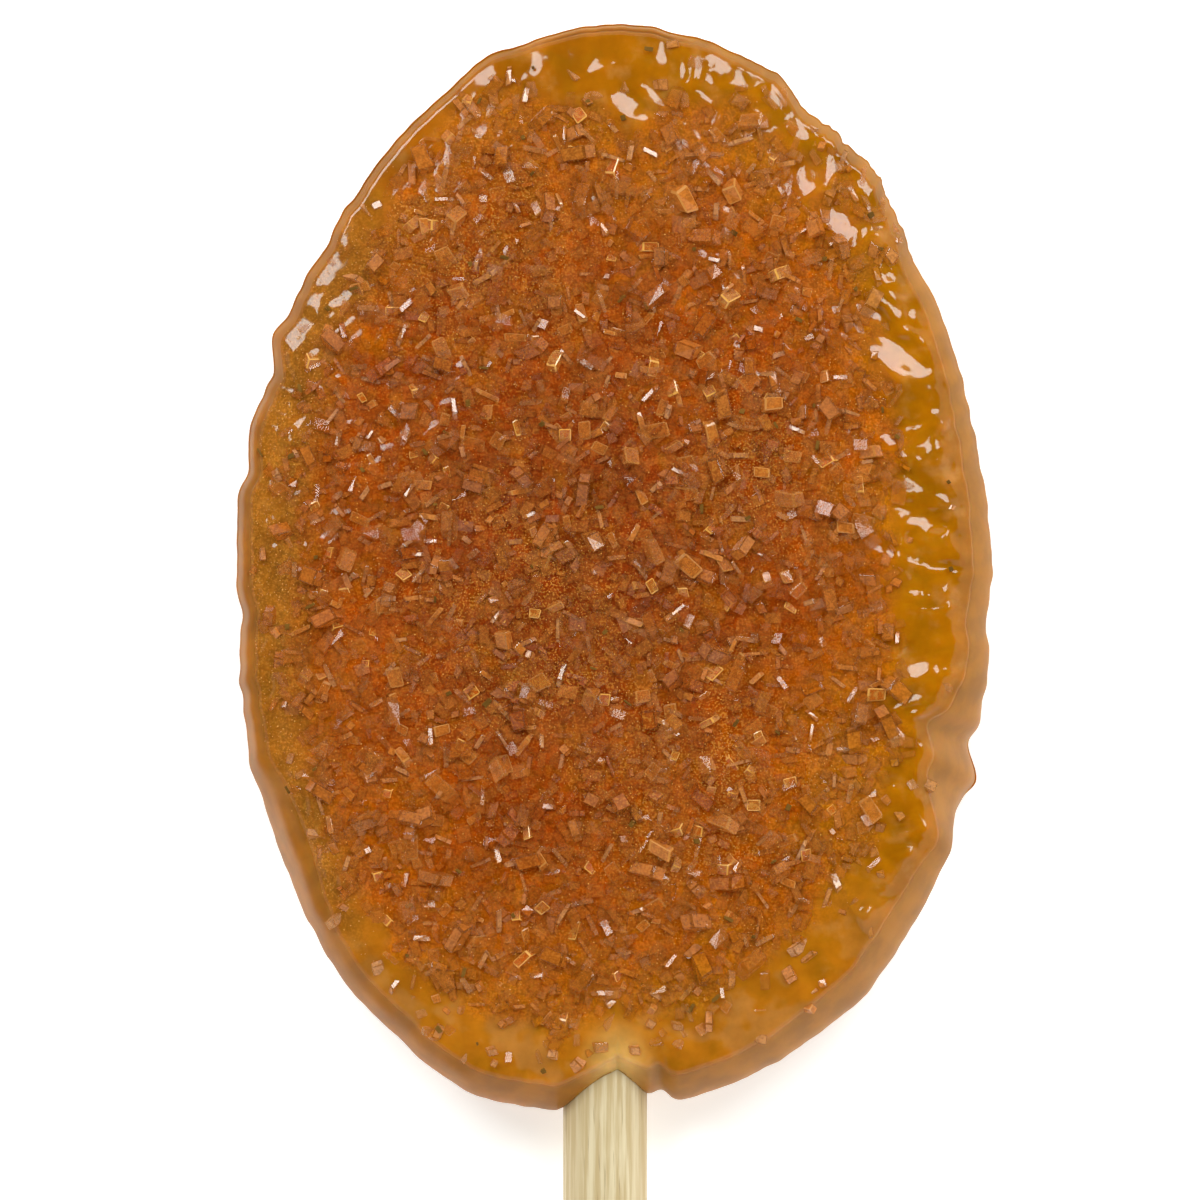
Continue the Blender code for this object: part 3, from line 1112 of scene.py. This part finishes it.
    def ripples(self, flat: np.ndarray, turn: np.ndarray) -> np.ndarray:
        """Waves in the bare syrup, highest on the right and at the top, as heights."""
        angle = np.degrees(turn)
        right, top = (between(angle, *ends) for ends in (self.ripple_right, self.ripple_top))
        swells = np.abs(wander(flat * (0.62, 1.0), 1.5, 11.0)) + 0.3 * np.abs(wander(flat, 0.8, 13.0))
        plain = 1.0 - 0.8 * self.shape.beaded(turn, self.shape.plain_at)
        depth = self.ripple_depth * (right + self.ripple_at_top * top) * plain
        return (self.ripple_least + depth) * swells

    def folds(self, flat: np.ndarray, turn: np.ndarray) -> tuple[np.ndarray, np.ndarray]:
        """Folds of syrup that ran round the rim before it set.

        Args:
            flat: Rows of x and y.
            turn: Their angles.

        Returns:
            The folds, from -1 to 1, and where they lie, from 0 to 1.
        """
        rim = self.shape.rim(turn)
        reach = np.hypot(rim[:, 0], rim[:, 1])
        inset = reach - np.hypot(flat[:, 0], flat[:, 1])
        along = turn * reach
        long, broad = self.fold_size
        folds = wander(np.stack([along / long, inset / broad + self.fold_slant * along], axis=-1), 1.0, 17.0)
        angle = np.degrees(turn) % 360.0
        start, end = self.drape_from
        here = between(angle, start, start + self.drape_ease, end - self.drape_ease, end)
        return folds, here * (1.0 - smooth(*self.drape_inset, inset))

    def drape(self, flat: np.ndarray, turn: np.ndarray) -> np.ndarray:
        """How much the folds and the grit in them add at each point, as a share of their depth."""
        folds, here = self.folds(flat, turn)
        start, _ = self.drape_from
        raised = smooth(start, start + self.drape_rise, np.degrees(turn) % 360.0)
        return here * raised * (folds + self.drape_grit * wander(flat, 0.6, 31.0))

    def smoothed(self, flat: np.ndarray) -> np.ndarray:
        """1 on the swells' smooth flanks, at rows of x and y."""
        return np.max([swell.window(flat) for swell in self.swells], axis=0)

    def crust(self, flat: np.ndarray, turn: np.ndarray) -> np.ndarray:
        """1 where the face is crusted, easing to 0 in the bare pools."""
        return smooth(*self.crust_from, self.ragged(flat, turn))

    def ragged(self, flat: np.ndarray, turn: np.ndarray) -> np.ndarray:
        """How far inside the crust's ragged edge each point lies."""
        inset = self.inset(flat, turn)
        return inset - self.shape.field_inset(turn) + self.fray * wander(flat, self.fray_span, 5.0)

    def inset(self, flat: np.ndarray, turn: np.ndarray) -> np.ndarray:
        """How far inside the rim each point lies."""
        rim = self.shape.rim(turn)
        return np.hypot(rim[:, 0], rim[:, 1]) - np.hypot(flat[:, 0], flat[:, 1])

    def draw_ring(
        self, bm: bmesh.types.BMesh, ring: list, angles: np.ndarray, section: np.ndarray
    ) -> list:
        """Draws the open edge out to the next ring.

        Args:
            bm: The mesh.
            ring: The points of its open edge, in order.
            angles: The angle of each.
            section: For each, the next one's share of the slope's width and its height.

        Returns:
            The points of the new open edge.
        """
        out, height = section.T
        flat = self.shape.inside(angles, self.shape.slope(angles) * (1.0 - out))
        drawn = [bm.verts.new(Vector((x, y, z)) * MM) for (x, y), z in zip(flat, height)]
        pairs = list(zip(ring, drawn))
        for (near, far), (next_near, next_far) in zip(pairs, pairs[1:] + pairs[:1]):
            bm.faces.new((next_near, near, far, next_far))
        return drawn

    def mark(self, mesh: bpy.types.Mesh) -> None:
        """Stores the masks: bare, band, neck, crust, dusty, flecked, film and stray."""
        points = np.zeros(len(mesh.vertices) * 3)
        mesh.vertices.foreach_get("co", points)
        points = points.reshape(-1, 3) / MM
        flat, height = points[:, :2], points[:, 2]
        turn = np.arctan2(points[:, 1] / self.shape.length, points[:, 0] / self.shape.width)
        inset = self.inset(flat, turn)
        band = 1.0 - smooth(*self.band_from, inset / self.shape.slope(turn))
        inward = 1.0 - band
        free = 1.0 - self.smoothed(flat)
        crust = self.crust(flat, turn) * inward
        back = height < self.back_below
        add_mask(mesh, "bare", np.where(back, 1.0, 1.0 - crust))
        add_mask(mesh, "band", np.where(back, 0.0, band))
        add_mask(mesh, "neck", self.neck(flat))
        on_top = np.where(height > self.crust_above, crust, 0.0) * free
        add_mask(mesh, "crust", on_top)
        dusty = self.shape.dust(flat)
        folds, here = self.folds(flat, turn)
        add_mask(mesh, "dusty", np.maximum(on_top * dusty, self.film_dust * here * inward))
        flecked = np.where(height > self.flecks_above, 0.4 + 0.3 * dusty + 0.6 * here, 0.0)
        add_mask(mesh, "flecked", flecked * inward)
        streaks = np.clip(0.5 + 1.1 * folds, 0.0, 1.0)
        add_mask(mesh, "film", here * (0.6 + 0.4 * streaks) * inward)
        loose = np.maximum(self.strays(flat, turn) * inward, self.chips(turn, inset)) * (1.0 - crust)
        add_mask(mesh, "stray", np.where(height > self.strays_above, loose, 0.0) * free)

    def neck(self, flat: np.ndarray) -> np.ndarray:
        """1 over the stick's notch, where the painted glow of light through the thin candy lies, easing to 0
        round it.
        """
        (x, y), (across, along) = self.neck_at, self.neck_reach
        over = np.hypot((flat[:, 0] - x) / across, (flat[:, 1] - y) / along)
        return 1.0 - smooth(*self.neck_from, over)

    def strays(self, flat: np.ndarray, turn: np.ndarray) -> np.ndarray:
        """How close loose crystals lie in the pools, closest in the lower one."""
        low = smooth(*self.low_from, -np.sin(turn))
        share = self.stray_share + (self.low_stray_share - self.stray_share) * low
        return share * smooth(-self.stray_reach, 0.0, self.ragged(flat, turn))

    def chips(self, turn: np.ndarray, inset: np.ndarray) -> np.ndarray:
        """1 at the broken rim, where crystals lie out to its edge."""
        start, end = self.chips_from
        here = between(np.degrees(turn), start, start + self.chips_ease, end - self.chips_ease, end)
        return here * smooth(*self.chips_inset, inset)

    def cut_bore(self, candy: bpy.types.Object) -> None:
        """Cuts the hole that the stick sits in."""
        length = self.stick_in + self.shape.length / 2
        top_y = self.stick_in - self.shape.length / 2 + 0.02
        bm = bmesh.new()
        bmesh.ops.create_cone(
            bm,
            cap_ends=True,
            segments=96,
            radius1=self.bore / 2 * MM,
            radius2=self.bore / 2 * MM,
            depth=length * MM,
            matrix=Matrix.Translation(Vector((self.stick_x, top_y - length / 2, self.stick_height)) * MM)
            @ Matrix.Rotation(math.pi / 2, 4, "X"),
        )
        cutter = put("bore", finished(bm, "bore"))
        cut = candy.modifiers.new("bore", "BOOLEAN")
        cut.operation = "DIFFERENCE"
        cut.solver = "MANIFOLD"
        cut.object = cutter
        settle(candy)
        bpy.data.objects.remove(cutter)


def settle(obj: bpy.types.Object) -> None:
    """Makes an object's evaluated mesh its own, and removes its modifiers."""
    bpy.context.view_layer.update()
    graph = bpy.context.evaluated_depsgraph_get()
    mesh = bpy.data.meshes.new_from_object(obj.evaluated_get(graph))
    obj.modifiers.clear()
    obj.data = mesh


@dataclass
class CrystalBlocks:
    """Sugar crystals of unit size: blocks that lean along their length, worn and each a little broken."""

    kinds: int = 9
    lean: float = 13.0
    bevel: float = 0.09
    uneven: float = 0.09
    seed: int = 31

    def build(self) -> bpy.types.Collection:
        """Makes one block of each kind, in a collection that isn't shown."""
        kinds = bpy.data.collections.new("crystal_kinds")
        draw = random.Random(self.seed)
        for index in range(self.kinds):
            kinds.objects.link(bpy.data.objects.new(f"crystal_kind_{index}", self.mesh(draw)))
        return kinds

    def mesh(self, draw: random.Random) -> bpy.types.Mesh:
        """One kind of crystal, with an edge mask that is 1 on its worn edges."""
        bm = bmesh.new()
        bmesh.ops.create_cube(bm, size=1.0)
        for vert in bm.verts:
            vert.co += Vector([draw.uniform(-self.uneven, self.uneven) for _ in "xyz"])
        bmesh.ops.transform(
            bm, matrix=Matrix.Shear("XY", 4, (math.tan(math.radians(self.lean)), 0.0)), verts=bm.verts
        )
        sides = len(bm.faces)
        bmesh.ops.bevel(bm, geom=list(bm.edges), offset=self.bevel, segments=1, affect="EDGES")
        areas = [face.calc_area() for face in bm.faces]
        smallest_side = sorted(areas)[-sides]
        mesh = finished(bm, "crystal_kind")
        add_mask(mesh, "edge", np.array([0.0 if area >= smallest_side else 1.0 for area in areas]), "FACE")
        return mesh


def speck_kinds() -> bpy.types.Collection:
    """A collection, which isn't shown, of the one grain that is too fine to have facets."""
    bm = bmesh.new()
    bmesh.ops.create_uvsphere(bm, u_segments=4, v_segments=2, radius=0.5)
    kinds = bpy.data.collections.new("speck_kinds")
    kinds.objects.link(bpy.data.objects.new("speck", finished(bm, "speck")))
    return kinds


def pick_kind(nodes: NodeTree, kinds: bpy.types.NodeSocket, **where: Any) -> bpy.types.NodeSocket:
    """Sets one kind from a collection, picked at random, on each point.

    Args:
        nodes: The geometry tree.
        kinds: The collection of kinds.
        **where: The points, and their turn and size.

    Returns:
        The instances.
    """
    every = nodes.add(
        "GeometryNodeCollectionInfo", {0: kinds, "Separate Children": True, "Reset Children": True}
    )
    count = nodes.add("GeometryNodeAttributeDomainSize", {0: every.outputs[0]}, component="INSTANCES")
    last = nodes.math("SUBTRACT", count.outputs["Instance Count"], 1.0)
    index = nodes.add("FunctionNodeRandomValue", {4: 0, 5: last, "Seed": 41}, data_type="INT").outputs[2]
    placed = nodes.add(
        "GeometryNodeInstanceOnPoints",
        {
            "Points": where["points"],
            "Instance": every.outputs[0],
            "Pick Instance": True,
            "Instance Index": index,
            "Rotation": where["turned"],
            "Scale": where["size"],
        },
    )
    return placed.outputs[0]


def run_tree(
    name: str, mesh: bpy.types.Mesh, tree: bpy.types.NodeTree, values: dict[str, Any]
) -> bpy.types.Object:
    """Runs a geometry tree on a mesh and keeps the result as a plain mesh.

    Args:
        name: The finished piece's name.
        mesh: What the tree starts from.
        tree: The geometry tree.
        values: A value for each named input.

    Returns:
        The finished piece.
    """
    piece = put(name, mesh)
    modifier = piece.modifiers.new(name, "NODES")
    modifier.node_group = tree
    for item in tree.interface.items_tree:
        if item.item_type == "SOCKET" and item.in_out == "INPUT" and item.name in values:
            modifier[item.identifier] = values[item.name]
    settle(piece)
    piece.data.name = name
    return piece


@dataclass(frozen=True)
class Scatter:
    """Things strewn over the candy: how close, how large, how tilted and how deep they lie."""

    name: str
    seed: int
    spacing: float
    density: float
    smallest: tuple[float, float, float]
    largest: tuple[float, float, float]
    tilt: float
    lift: Span
    mask: str = "crust"
    slot: Slot = Slot.CRYSTAL

    def tree(self) -> NodeTree:
        """The geometry tree that strews blocks over a mesh."""
        nodes = new_group(
            f"{self.name}_strewn",
            "GeometryNodeTree",
            {
                "Face": "NodeSocketGeometry",
                "Kinds": "NodeSocketCollection",
                "Finish": "NodeSocketMaterial",
                "Spacing": "NodeSocketFloat",
                "Density": "NodeSocketFloat",
                "Smallest": "NodeSocketVector",
                "Largest": "NodeSocketVector",
                "Tilt": "NodeSocketFloat",
                "Lowest": "NodeSocketFloat",
                "Highest": "NodeSocketFloat",
                "Seed": "NodeSocketInt",
            },
            {"Pieces": "NodeSocketGeometry"},
        )
        given = nodes.add("NodeGroupInput").outputs
        mask = nodes.add("GeometryNodeInputNamedAttribute", {"Name": self.mask}, data_type="FLOAT").outputs[0]
        strewn = nodes.add(
            "GeometryNodeDistributePointsOnFaces",
            {
                "Mesh": given["Face"],
                "Distance Min": given["Spacing"],
                "Density Max": given["Density"],
                "Density Factor": mask,
                "Seed": given["Seed"],
            },
            distribute_method="POISSON",
        )
        lift = nodes.add(
            "FunctionNodeRandomValue",
            {2: given["Lowest"], 3: given["Highest"], "Seed": 11},
            data_type="FLOAT",
        ).outputs[1]
        offset = nodes.add("ShaderNodeCombineXYZ", {2: lift}).outputs[0]
        lifted = nodes.add("GeometryNodeSetPosition", {"Geometry": strewn.outputs[0], "Offset": offset})
        tilt = given["Tilt"]
        lean = nodes.math("MULTIPLY", tilt, -1.0)
        least = nodes.add("ShaderNodeCombineXYZ", {0: lean, 1: lean, 2: 0.0}).outputs[0]
        most = nodes.add("ShaderNodeCombineXYZ", {0: tilt, 1: tilt, 2: 2 * math.pi}).outputs[0]
        turned = nodes.add(
            "FunctionNodeRandomValue", {0: least, 1: most, "Seed": 23}, data_type="FLOAT_VECTOR"
        ).outputs[0]
        size = nodes.add(
            "FunctionNodeRandomValue",
            {0: given["Smallest"], 1: given["Largest"], "Seed": 37},
            data_type="FLOAT_VECTOR",
        ).outputs[0]
        placed = pick_kind(nodes, given["Kinds"], points=lifted.outputs[0], turned=turned, size=size)
        finish_instances(nodes, placed, given["Finish"])
        return nodes

    def build(
        self, face: bpy.types.Mesh, kinds: bpy.types.Collection, finish: bpy.types.Material
    ) -> bpy.types.Object:
        """Strews the pieces.

        Args:
            face: The mesh that they lie on.
            kinds: Unit shapes to pick from.
            finish: Their material.

        Returns:
            All of them as one piece.
        """
        return run_tree(
            self.name,
            face,
            self.tree().tree,
            {
                "Kinds": kinds,
                "Finish": finish,
                "Spacing": self.spacing * MM,
                "Density": self.density / MM**2,
                "Smallest": tuple(size * MM for size in self.smallest),
                "Largest": tuple(size * MM for size in self.largest),
                "Tilt": math.radians(self.tilt),
                "Lowest": self.lift[0] * MM,
                "Highest": self.lift[1] * MM,
                "Seed": self.seed,
            },
        )


def finish_instances(nodes: NodeTree, instances: bpy.types.NodeSocket, finish: bpy.types.NodeSocket) -> None:
    """Gives each instance its own tint, makes all of them real and sets their material."""
    tint = nodes.add("FunctionNodeRandomValue", {2: 0.0, 3: 1.0, "Seed": 5}, data_type="FLOAT").outputs[1]
    tinted = nodes.add(
        "GeometryNodeStoreNamedAttribute",
        {"Geometry": instances, "Name": "tint", "Value": tint},
        data_type="FLOAT",
        domain="INSTANCE",
    )
    real = nodes.add("GeometryNodeRealizeInstances", {"Geometry": tinted.outputs[0]})
    dressed = nodes.add("GeometryNodeSetMaterial", {"Geometry": real.outputs[0], "Material": finish})
    nodes.add("NodeGroupOutput", {"Pieces": dressed.outputs[0]})


@dataclass
class LargeCrystals:
    """The largest crystals, at the places where the solid has them."""

    shape: CandyShape = field(default_factory=CandyShape)
    count: int = 196
    seed: int = 7
    length: Span = (0.85, 1.45)
    breadth: Span = (0.60, 0.80)
    depth: Span = (0.50, 0.68)
    tilt: float = 32.0
    proud: float = 0.16
    jitter: float = 1.2

    def places(self) -> Iterator[tuple[Vector, Euler, Vector]]:
        """Each crystal's place, turn and size, spread over the field by the golden angle."""
        draw = random.Random(self.seed)
        for index in range(self.count):
            share = math.sqrt((index + 0.5) / self.count)
            turn = index * GOLDEN_ANGLE + draw.uniform(-1.0, 1.0) * self.jitter / (self.count**0.5 * share)
            at = np.array([turn])
            edge = self.shape.inside(at, self.shape.field_inset(at))[0]
            crease = self.shape.inside(at, self.shape.slope(at))[0]
            on_face = share * math.hypot(*edge) / math.hypot(*crease)
            size = Vector([draw.uniform(*span) for span in (self.length, self.breadth, self.depth)])
            tilt = [math.radians(draw.uniform(-self.tilt, self.tilt)) for _ in "xy"]
            yaw = draw.uniform(0.0, 2.0 * math.pi)
            centre = Vector(self.shape.on_face(at, np.array([on_face]))[0])
            yield centre + Vector((0.0, 0.0, self.proud)), Euler((tilt[0], tilt[1], yaw)), size

    def points(self) -> bpy.types.Mesh:
        """A mesh of one point for each crystal, with its turn and size."""
        places = list(self.places())
        mesh = bpy.data.meshes.new("crystal_places")
        mesh.vertices.add(len(places))
        mesh.vertices.foreach_set("co", np.array([centre * MM for centre, _, _ in places]).ravel())
        for name, rows in (
            ("turned", [tuple(turned) for _, turned, _ in places]),
            ("size", [size * MM for _, _, size in places]),
        ):
            made = mesh.attributes.new(name, "FLOAT_VECTOR", "POINT")
            made.data.foreach_set("vector", np.array(rows, np.float32).ravel())
        add_mask(mesh, "dusty", self.shape.dust(np.array([centre[:2] for centre, _, _ in places])))
        return mesh

    def tree(self) -> NodeTree:
        """The geometry tree that sets a block at each point."""
        nodes = new_group(
            "crystals_set",
            "GeometryNodeTree",
            {"Places": "NodeSocketGeometry", "Kinds": "NodeSocketCollection", "Finish": "NodeSocketMaterial"},
            {"Pieces": "NodeSocketGeometry"},
        )
        given = nodes.add("NodeGroupInput").outputs
        turned, size = (
            nodes.add("GeometryNodeInputNamedAttribute", {"Name": name}, data_type="FLOAT_VECTOR").outputs[0]
            for name in ("turned", "size")
        )
        placed = pick_kind(nodes, given["Kinds"], points=given["Places"], turned=turned, size=size)
        finish_instances(nodes, placed, given["Finish"])
        return nodes

    def build(self, kinds: bpy.types.Collection, finish: bpy.types.Material) -> bpy.types.Object:
        """Sets the crystals and gives them as one piece."""
        return run_tree("crystals_large", self.points(), self.tree().tree, {"Kinds": kinds, "Finish": finish})


@dataclass(frozen=True)
class Crust:
    """All that is set in the candy's face or strewn over it."""

    sugar: SugarFinish = SugarFinish()
    sunk_sugar: SugarFinish = SugarFinish(
        "sugar_crystal_sunk", cover=(0.08, 0.5), worn_cover=0.15, roughness=0.3, density=1.3
    )
    # These crystals' veil of painted reflection is paler.
    clear_sugar: SugarFinish = SugarFinish(
        "sugar_crystal_clear", reflected_veil=seen(204, 146, 96), cover=(0.3, 0.8), roughness=0.04, density=1.7
    )
    sunk: Scatter = Scatter(
        "crystals_sunk",
        4,
        spacing=0.42,
        density=2.8,
        smallest=(0.35, 0.30, 0.30),
        largest=(1.2, 0.8, 0.5),
        tilt=10.0,
        lift=(-0.12, -0.05),
    )
    small: Scatter = Scatter(
        "crystals_small",
        3,
        spacing=0.45,
        density=2.6,
        smallest=(0.22, 0.20, 0.20),
        largest=(1.0, 0.62, 0.5),
        tilt=31.0,
        lift=(-0.18, 0.06),
    )
    stray: Scatter = Scatter(
        "crystals_stray",
        8,
        spacing=0.5,
        density=2.4,
        smallest=(0.30, 0.24, 0.20),
        largest=(0.95, 0.62, 0.45),
        tilt=34.0,
        lift=(-0.16, 0.06),
        mask="stray",
    )
    slender: Scatter = Scatter(
        "crystals_slender",
        27,
        spacing=0.7,
        density=0.85,
        smallest=(0.5, 0.16, 0.14),
        largest=(1.05, 0.28, 0.24),
        tilt=22.0,
        lift=(-0.02, 0.12),
    )
    golden: Scatter = Scatter(
        "crystals_golden",
        15,
        spacing=0.9,
        density=0.09,
        smallest=(0.36, 0.30, 0.26),
        largest=(0.95, 0.62, 0.5),
        tilt=34.0,
        lift=(-0.16, 0.04),
    )
    dust: Scatter = Scatter(
        "sugar_dust",
        9,
        spacing=0.1,
        density=16.0,
        smallest=(0.05, 0.05, 0.03),
        largest=(0.12, 0.09, 0.07),
        tilt=60.0,
        lift=(0.0, 0.3),
        mask="dusty",
    )
    herbs: Scatter = Scatter(
        "herb_flecks",
        21,
        spacing=1.1,
        density=0.10,
        smallest=(0.14, 0.10, 0.06),
        largest=(0.44, 0.26, 0.14),
        tilt=30.0,
        lift=(0.10, 0.32),
        mask="flecked",
        slot=Slot.HERB,
    )

    def build(self, face: bpy.types.Mesh) -> list[tuple[bpy.types.Object, Slot]]:
        """Makes every piece of the crust.

        Args:
            face: The candy's mesh, with its masks.

        Returns:
            Each piece and its material slot.
        """
        blocks, specks = CrystalBlocks().build(), speck_kinds()
        sugar, clear_sugar = self.sugar.material(), self.clear_sugar.material()
        pieces = [(LargeCrystals().build(blocks, sugar), Slot.CRYSTAL)]
        for scatter, kinds, finish in (
            (self.sunk, blocks, self.sunk_sugar.material()),
            (self.small, blocks, sugar),
            (self.stray, blocks, clear_sugar),
            (self.slender, blocks, clear_sugar),
            (self.golden, blocks, GoldenFinish().material()),
            (self.dust, specks, DustFinish().material()),
            (self.herbs, blocks, HerbFinish().material()),
        ):
            pieces.append((scatter.build(face, kinds, finish), scatter.slot))
        for kinds in (blocks, specks):
            for kind in list(kinds.objects):
                bpy.data.objects.remove(kind)
            bpy.data.collections.remove(kinds)
        return pieces


@dataclass
class Stick:
    """The round birch stick, with drawn fibres and eased ends."""

    diameter: float = 4.2
    length: float = 125.0
    x: float = -0.5
    height: float = 3.6
    top_y: float = 3.3
    sides: int = 72
    steps: int = 160
    fibre: float = 0.03
    fibres_round: float = 9.0
    fibre_length: float = 14.0
    ease: float = 0.3
    sharp_from: float = 50.0

    def build(self) -> bpy.types.Object:
        """Makes the stick from rings along its length.

        Returns:
            The stick, dressed.
        """
        bm = bmesh.new()
        bmesh.ops.create_cone(bm, cap_ends=True, segments=self.sides, radius1=1.0, radius2=1.0, depth=1.0)
        sides = [edge for edge in bm.edges if abs(edge.verts[0].co.z - edge.verts[1].co.z) > 0.5]
        bmesh.ops.subdivide_edges(bm, edges=sides, cuts=self.steps)
        for vert in bm.verts:
            vert.co = self.place(vert.co)
        bmesh.ops.recalc_face_normals(bm, faces=bm.faces)
        mesh = finished(bm, "birch_stick")
        mesh.shade_smooth()
        mesh.set_sharp_from_angle(angle=math.radians(self.sharp_from))
        mesh.materials.append(BirchFinish().material())
        return put("birch_stick", mesh)

    def place(self, unit: Vector) -> Vector:
        """Where a point of the unit rod lies on the stick, in metres."""
        along = (unit.z + 0.5) * self.length
        turn = math.atan2(unit.y, unit.x)
        from_end = min(along, self.length - along)
        round_off = self.ease * (1.0 - min(1.0, from_end / self.ease)) ** 2
        across, up = math.cos(turn), math.sin(turn)
        spot = (across * self.fibres_round, up * self.fibres_round, along / self.fibre_length)
        radius = self.diameter / 2 - round_off - self.fibre * (0.5 + 0.5 * noise.noise(Vector(spot)))
        return Vector((self.x + radius * across, self.top_y - along, self.height + radius * up)) * MM


@dataclass
class Studio:
    """The plain floor, the soft lights and the camera that looks straight down."""

    frame_width: float = 60.0
    centre: Span = (-0.75, -1.55)
    distance: float = 300.0
    sensor: float = 36.0
    rim_height: float = 1.2
    light_distance: float = 400.0
    light_glow: float = 11.5
    light_colour: tuple[float, float, float] = (0.93, 1.0, 0.98)
    light_ways: Triples = ((37.0, 132.0, 136.0), (36.0, 52.0, 118.0))
    sky_zenith: float = 0.01
    sky_side: float = 1.46
    sky_left: float = 0.68
    sky_mirrored: float = 0.7
    sky_colour: Colour = (1.0, 0.98, 0.88, 1.0)
    sky_edge: Span = (47.0, 43.0)
    sky_turn: Span = (-0.8, 0.4)
    floor_reach: float = 3.0
    near_clip: float = 0.01

    def build(self) -> None:
        """Makes the floor, lights, world and camera."""
        self.floor()
        self.camera()
        self.world()
        for index, (tilt, azimuth, side) in enumerate(self.light_ways):
            self.softbox(f"softbox_{index}", math.radians(tilt), math.radians(azimuth), side * MM)
        bpy.context.scene.view_settings.view_transform = "Standard"

    def floor(self) -> None:
        """Lays the floor."""
        bm = bmesh.new()
        bmesh.ops.create_grid(bm, x_segments=1, y_segments=1, size=self.floor_reach)
        mesh = finished(bm, "floor")
        mesh.materials.append(FloorFinish().material())
        put("floor", mesh)

    def camera(self) -> None:
        """Sets the camera above the candy, upright along +Y."""
        data = bpy.data.cameras.new("camera")
        data.sensor_width = self.sensor
        data.lens = self.sensor * self.distance / self.frame_width
        data.clip_start = self.near_clip
        camera = put("camera", data)
        x, y = self.centre
        camera.location = Vector((x, y, self.rim_height + self.distance)) * MM
        bpy.context.scene.camera = camera

    def world(self) -> None:
        """A sky that is bright round the sides and dim overhead."""
        world = bpy.data.worlds.new("studio")
        world.use_nodes = True
        nodes = NodeTree(world.node_tree)
        way = nodes.add("ShaderNodeTexCoord").outputs["Generated"]
        across, _, up = nodes.add("ShaderNodeSeparateXYZ", {0: way}).outputs
        low, high = (math.cos(math.radians(angle)) for angle in self.sky_edge)
        level = nodes.ease(up, low, high, (self.sky_side, self.sky_zenith))
        share = nodes.ease(across, *self.sky_turn, (self.sky_left, 1.0))
        mirrored = nodes.add("ShaderNodeLightPath").outputs["Is Glossy Ray"]
        held = nodes.math("SUBTRACT", 1.0, nodes.math("MULTIPLY", mirrored, 1.0 - self.sky_mirrored))
        strength = nodes.math("MULTIPLY", nodes.math("MULTIPLY", level, share), held)
        nodes.fill(world.node_tree.nodes["Background"], {"Color": self.sky_colour, "Strength": strength})
        bpy.context.scene.world = world

    def softbox(self, name: str, tilt: float, azimuth: float, side: float) -> None:
        """Hangs one square light that faces the candy.

        Args:
            name: The light's name.
            tilt: Its angle from straight above.
            azimuth: Its direction seen from above, from +X.
            side: Its size.
        """
        data = bpy.data.lights.new(name, "AREA")
        data.shape = "SQUARE"
        data.size = side
        data.energy = self.light_glow * math.pi * side**2
        data.color = self.light_colour
        light = put(name, data)
        out = math.sin(tilt)
        way = Vector((out * math.cos(azimuth), out * math.sin(azimuth), math.cos(tilt)))
        light.location = way * self.light_distance * MM
        light.rotation_euler = way.to_track_quat("Z", "Y").to_euler()
        light.visible_camera = False


def keep(piece: bpy.types.Object, slot: Slot, *nodes: str) -> None:
    """Ties a finished piece to the body and hides the nodes that it stands for."""
    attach(piece, BODY)
    if nodes:
        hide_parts(*nodes)
    LOG.info("%s: %d faces", piece.name, len(piece.data.polygons))


def main() -> None:
    """Builds the candy, its crust, the stick and the studio."""
    candy = Candy().build()
    crust = Crust().build(candy.data)
    stick = Stick().build()
    Studio().build()
    keep(candy, Slot.AMBER, "candy")
    for piece, slot in crust:
        keep(piece, slot)
    keep(stick, Slot.BIRCH, "stick")


if __name__ == "__main__":
    logging.basicConfig(level=logging.INFO)
    main()
